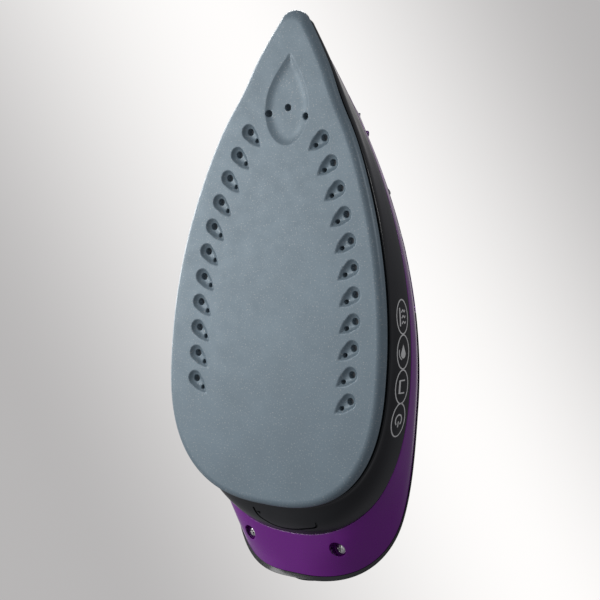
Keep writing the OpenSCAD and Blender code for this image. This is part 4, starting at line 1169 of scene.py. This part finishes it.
def build_controls():
    grey, white = FINISHES["grey_plastic"], WHITE_PRINT
    low = DECK_Z + 0.5
    rim = [(16.6, 0, 0), (17.6, 0, 0.2), (DIAL_R, 0.9, 0.5), (DIAL_R, 5.4, 0.8),
           (17.3, 6.7, 0.6), (16.2, 6.7, 0.5), (14.6, 5.9, 1.2), (0.05, 5.6, 0)]
    knob = moved(turned(profile(rim), 360, grips(DIAL_GRIPS, DIAL_DEPTH, DIAL_R, 0.9, 5.4)),
                 (0, DIAL_Y, low))
    ridge = moved(bar(12.5, 3.2, 5.0, 7.1, 8.6), (0, DIAL_Y, low))
    place("dial_knob", as_mesh("dial", *joined([knob, ridge]), weld=False), grey,
          "grey_plastic", body="dial", replaces=["temperature_dial"])
    mark = moved(bar(6.5, 1.2, 6.6, 7.3, 11.2, cut=0.15), (0, DIAL_Y, low))
    place("dial_mark", as_mesh("dial_mark", *mark), white, "white_plastic", body="dial")
    marks = []
    for i, turn in enumerate(np.radians(np.linspace(-180, 90, 7))):
        length = 0.9 + 0.28 * i
        dot = bar(length, 0.8, 0.7, 0.98, DIAL_R + 2.9, cut=0.08)
        marks.append(moved(dot, (0, DIAL_Y, DECK_Z), spin=turn))
    place("scale_marks", as_mesh("scale_marks", *joined(marks)), FINISHES["black_satin"],
          "black_satin")
    for name, y, top, stem in (("steam", STEAM_Y, STEAM_TOP, 7.5),
                               ("spray", SPRAY_Y, SPRAY_TOP, 12)):
        place(name + "_button_cap", as_mesh(name + "_cap", *button(y, top, stem)), grey,
              "grey_plastic", body=name + "_control", replaces=[name + "_button"])
    rim = [(SELECTOR_R - 0.6, 0, 0), (SELECTOR_R - 0.05, 0.4, 0.2),
           (SELECTOR_R - 0.05, 2.9, 0.5), (SELECTOR_R - 0.9, 3.6, 0.3), (0.05, 3.6, 0)]
    shapes = [turned(profile(rim), 144, grips(SELECTOR_GRIPS, 0.5, SELECTOR_R, 0.3, 3.0)),
              bar(9, 2.4, 3.4, 5.45, 1.2), cylinder(2, -13, 0.5, 32),
              bar(7, 3, -13, -11, 2.5, cut=0.2)]
    knob = moved(joined(shapes), SELECTOR_AT, SELECTOR_TILT)
    place("selector_knob", as_mesh("selector", *knob, weld=False), grey, "grey_plastic",
          body="selector", replaces=["steam_selector"])
    mark = moved(bar(3.2, 0.9, 5.2, 5.5, 3.6, cut=0.1), SELECTOR_AT, SELECTOR_TILT)
    place("selector_mark", as_mesh("selector_mark", *mark), white, "white_plastic",
          body="selector")


build_controls()

# Carried-over CAD pieces that can be seen get small rounded edges
for node in ("filler_lid", "spray_nozzle", "cord_gland", "cord_swivel", "rear_cover",
             "heel_pads", "dial_scale", "indicator_lens"):
    piece = frame["nodes"][node]
    piece.modifiers.new("weld", "WELD").merge_threshold = 1e-6
    flat = piece.modifiers.new("flat", "DECIMATE")
    flat.decimate_type, flat.angle_limit = "DISSOLVE", math.radians(1)
    round_edges = piece.modifiers.new("edges", "BEVEL")
    round_edges.width, round_edges.segments = 0.25 * MM, 2
    round_edges.limit_method, round_edges.angle_limit = "ANGLE", math.radians(35)
    even_normals(piece)

# ---- studio ------------------------------------------------------------------
CAMERA_AT = (-0.5022, 0.0964, -0.7718)
CAMERA_TURN = (176.486, -32.625, 175.855)
CAMERA_LENS, CAMERA_SENSOR = 120, 36
FLOOR_SIZE = 6.0
# The backdrop lies above the iron; its streak of light runs across this direction
BACKDROP_WAY = (0.532, -0.100, 0.841)
STREAK_ACROSS = (-0.783, 0.597, 0.567)
STREAK_AT = 0.0425


def build_camera():
    data = bpy.data.cameras.new("camera")
    data.lens, data.sensor_width = CAMERA_LENS, CAMERA_SENSOR
    data.clip_start, data.clip_end = 0.01, 50
    camera = bpy.data.objects.new("camera", data)
    camera.location = CAMERA_AT
    camera.rotation_euler = [math.radians(a) for a in CAMERA_TURN]
    bpy.context.scene.collection.objects.link(camera)
    bpy.context.scene.camera = camera


def build_floor():
    """A pale floor under the sole that can be seen only from above it."""
    mesh = bpy.data.meshes.new("floor")
    h = FLOOR_SIZE / 2
    mesh.from_pydata([(-h, -h, 0), (h, -h, 0), (h, h, 0), (-h, h, 0)], [], [(0, 1, 2, 3)])
    floor = bpy.data.objects.new("floor", mesh)
    floor.location.z = cad_low.z - 0.0004
    bpy.context.scene.collection.objects.link(floor)
    material = bpy.data.materials.new("floor")
    material.use_nodes = True
    tree = material.node_tree
    tree.nodes["Principled BSDF"].inputs["Base Color"].default_value = (0.72, 0.71, 0.71, 1)
    tree.nodes["Principled BSDF"].inputs["Roughness"].default_value = 0.6
    behind = add(tree, "ShaderNodeNewGeometry").outputs["Backfacing"]
    clear = add(tree, "ShaderNodeBsdfTransparent")
    mix = add(tree, "ShaderNodeMixShader")
    tree.links.new(behind, mix.inputs[0])
    tree.links.new(tree.nodes["Principled BSDF"].outputs[0], mix.inputs[1])
    tree.links.new(clear.outputs[0], mix.inputs[2])
    tree.links.new(mix.outputs[0], tree.nodes["Material Output"].inputs[0])
    mesh.materials.append(material)
    for ray in ("shadow", "diffuse", "glossy", "transmission"):
        setattr(floor, "visible_" + ray, False)


def glow_between(tree, value, low, high, swap=False):
    """0 to 1 between two values, eased at both ends."""
    made = add(tree, "ShaderNodeMapRange", {"From Min": low, "From Max": high,
                                            "To Min": float(swap), "To Max": 1 - swap},
               interpolation_type="SMOOTHSTEP")
    tree.links.new(value, made.inputs["Value"])
    return made.outputs["Result"]


def product(tree, first, second):
    made = add(tree, "ShaderNodeMath", operation="MULTIPLY")
    tree.links.new(first, made.inputs[0])
    tree.links.new(second, made.inputs[1])
    return made.outputs[0]


def build_world():
    """Soft grey surroundings with one slanting streak of light on the backdrop."""
    world = bpy.data.worlds.new("studio")
    bpy.context.scene.world = world
    world.use_nodes = True
    tree = world.node_tree
    where = add(tree, "ShaderNodeTexCoord").outputs["Generated"]

    def along(direction):
        made = add(tree, "ShaderNodeVectorMath", {1: direction}, operation="DOT_PRODUCT")
        tree.links.new(where, made.inputs[0])
        return made.outputs["Value"]

    across = along(STREAK_ACROSS)
    streak = product(tree, glow_between(tree, across, STREAK_AT - 0.215, STREAK_AT),
                     glow_between(tree, across, STREAK_AT, STREAK_AT + 0.185, swap=True))
    backdrop = blended(tree, streak, (0.475, 0.465, 0.465), (1.0, 0.985, 0.975))
    room = blended(tree, glow_between(tree, along((0.62, 0.60, -0.50)), -0.6, 1.0),
                   (0.13, 0.13, 0.14), (0.42, 0.43, 0.45))
    behind = glow_between(tree, along(BACKDROP_WAY), 0.90, 0.975)
    tint = blended(tree, behind, room, backdrop)
    tree.links.new(tint, tree.nodes["Background"].inputs["Color"])
    tree.nodes["Background"].inputs["Strength"].default_value = 1.0


def area_light(name, direction, distance, size, watts, aim=(0, 0, 0.03)):
    """A soft square lamp at a distance from aim in a direction, turned towards aim.

    Distance, size and aim are in metres.
    """
    data = bpy.data.lights.new(name, "AREA")
    data.shape, data.size, data.energy = "SQUARE", size, watts
    lamp = bpy.data.objects.new(name, data)
    way = Vector(direction).normalized()
    lamp.location = Vector(aim) + way * distance
    lamp.rotation_euler = way.to_track_quat("Z", "Y").to_euler()
    lamp.visible_camera = False
    bpy.context.scene.collection.objects.link(lamp)


def build_lights():
    area_light("key below", (0.64, 0.03, -0.62), 0.62, 0.34, 1.7, aim=(0, 0.01, 0))
    area_light("edge", (0.97, 0.12, 0.16), 0.9, 0.5, 5.0)
    area_light("flank strip", (-0.86, 0.42, 0.22), 1.0, 0.22, 1.1, aim=(0, 0.02, 0.04))
    area_light("key above", (0.9, 0.6, 1.0), 1.3, 0.7, 12)


build_camera()
build_floor()
build_world()
build_lights()
bpy.context.scene.view_settings.view_transform = "Standard"

# ---- remaining CAD nodes get their finishes ----------------------------------
slot_of = {part["node"]: part["material_slot"] for part in frame["record"]["subparts"]}
for node, shown in frame["nodes"].items():
    if not shown.hide_render:
        shown.data.materials.clear()
        shown.data.materials.append(FINISHES[slot_of[node]])
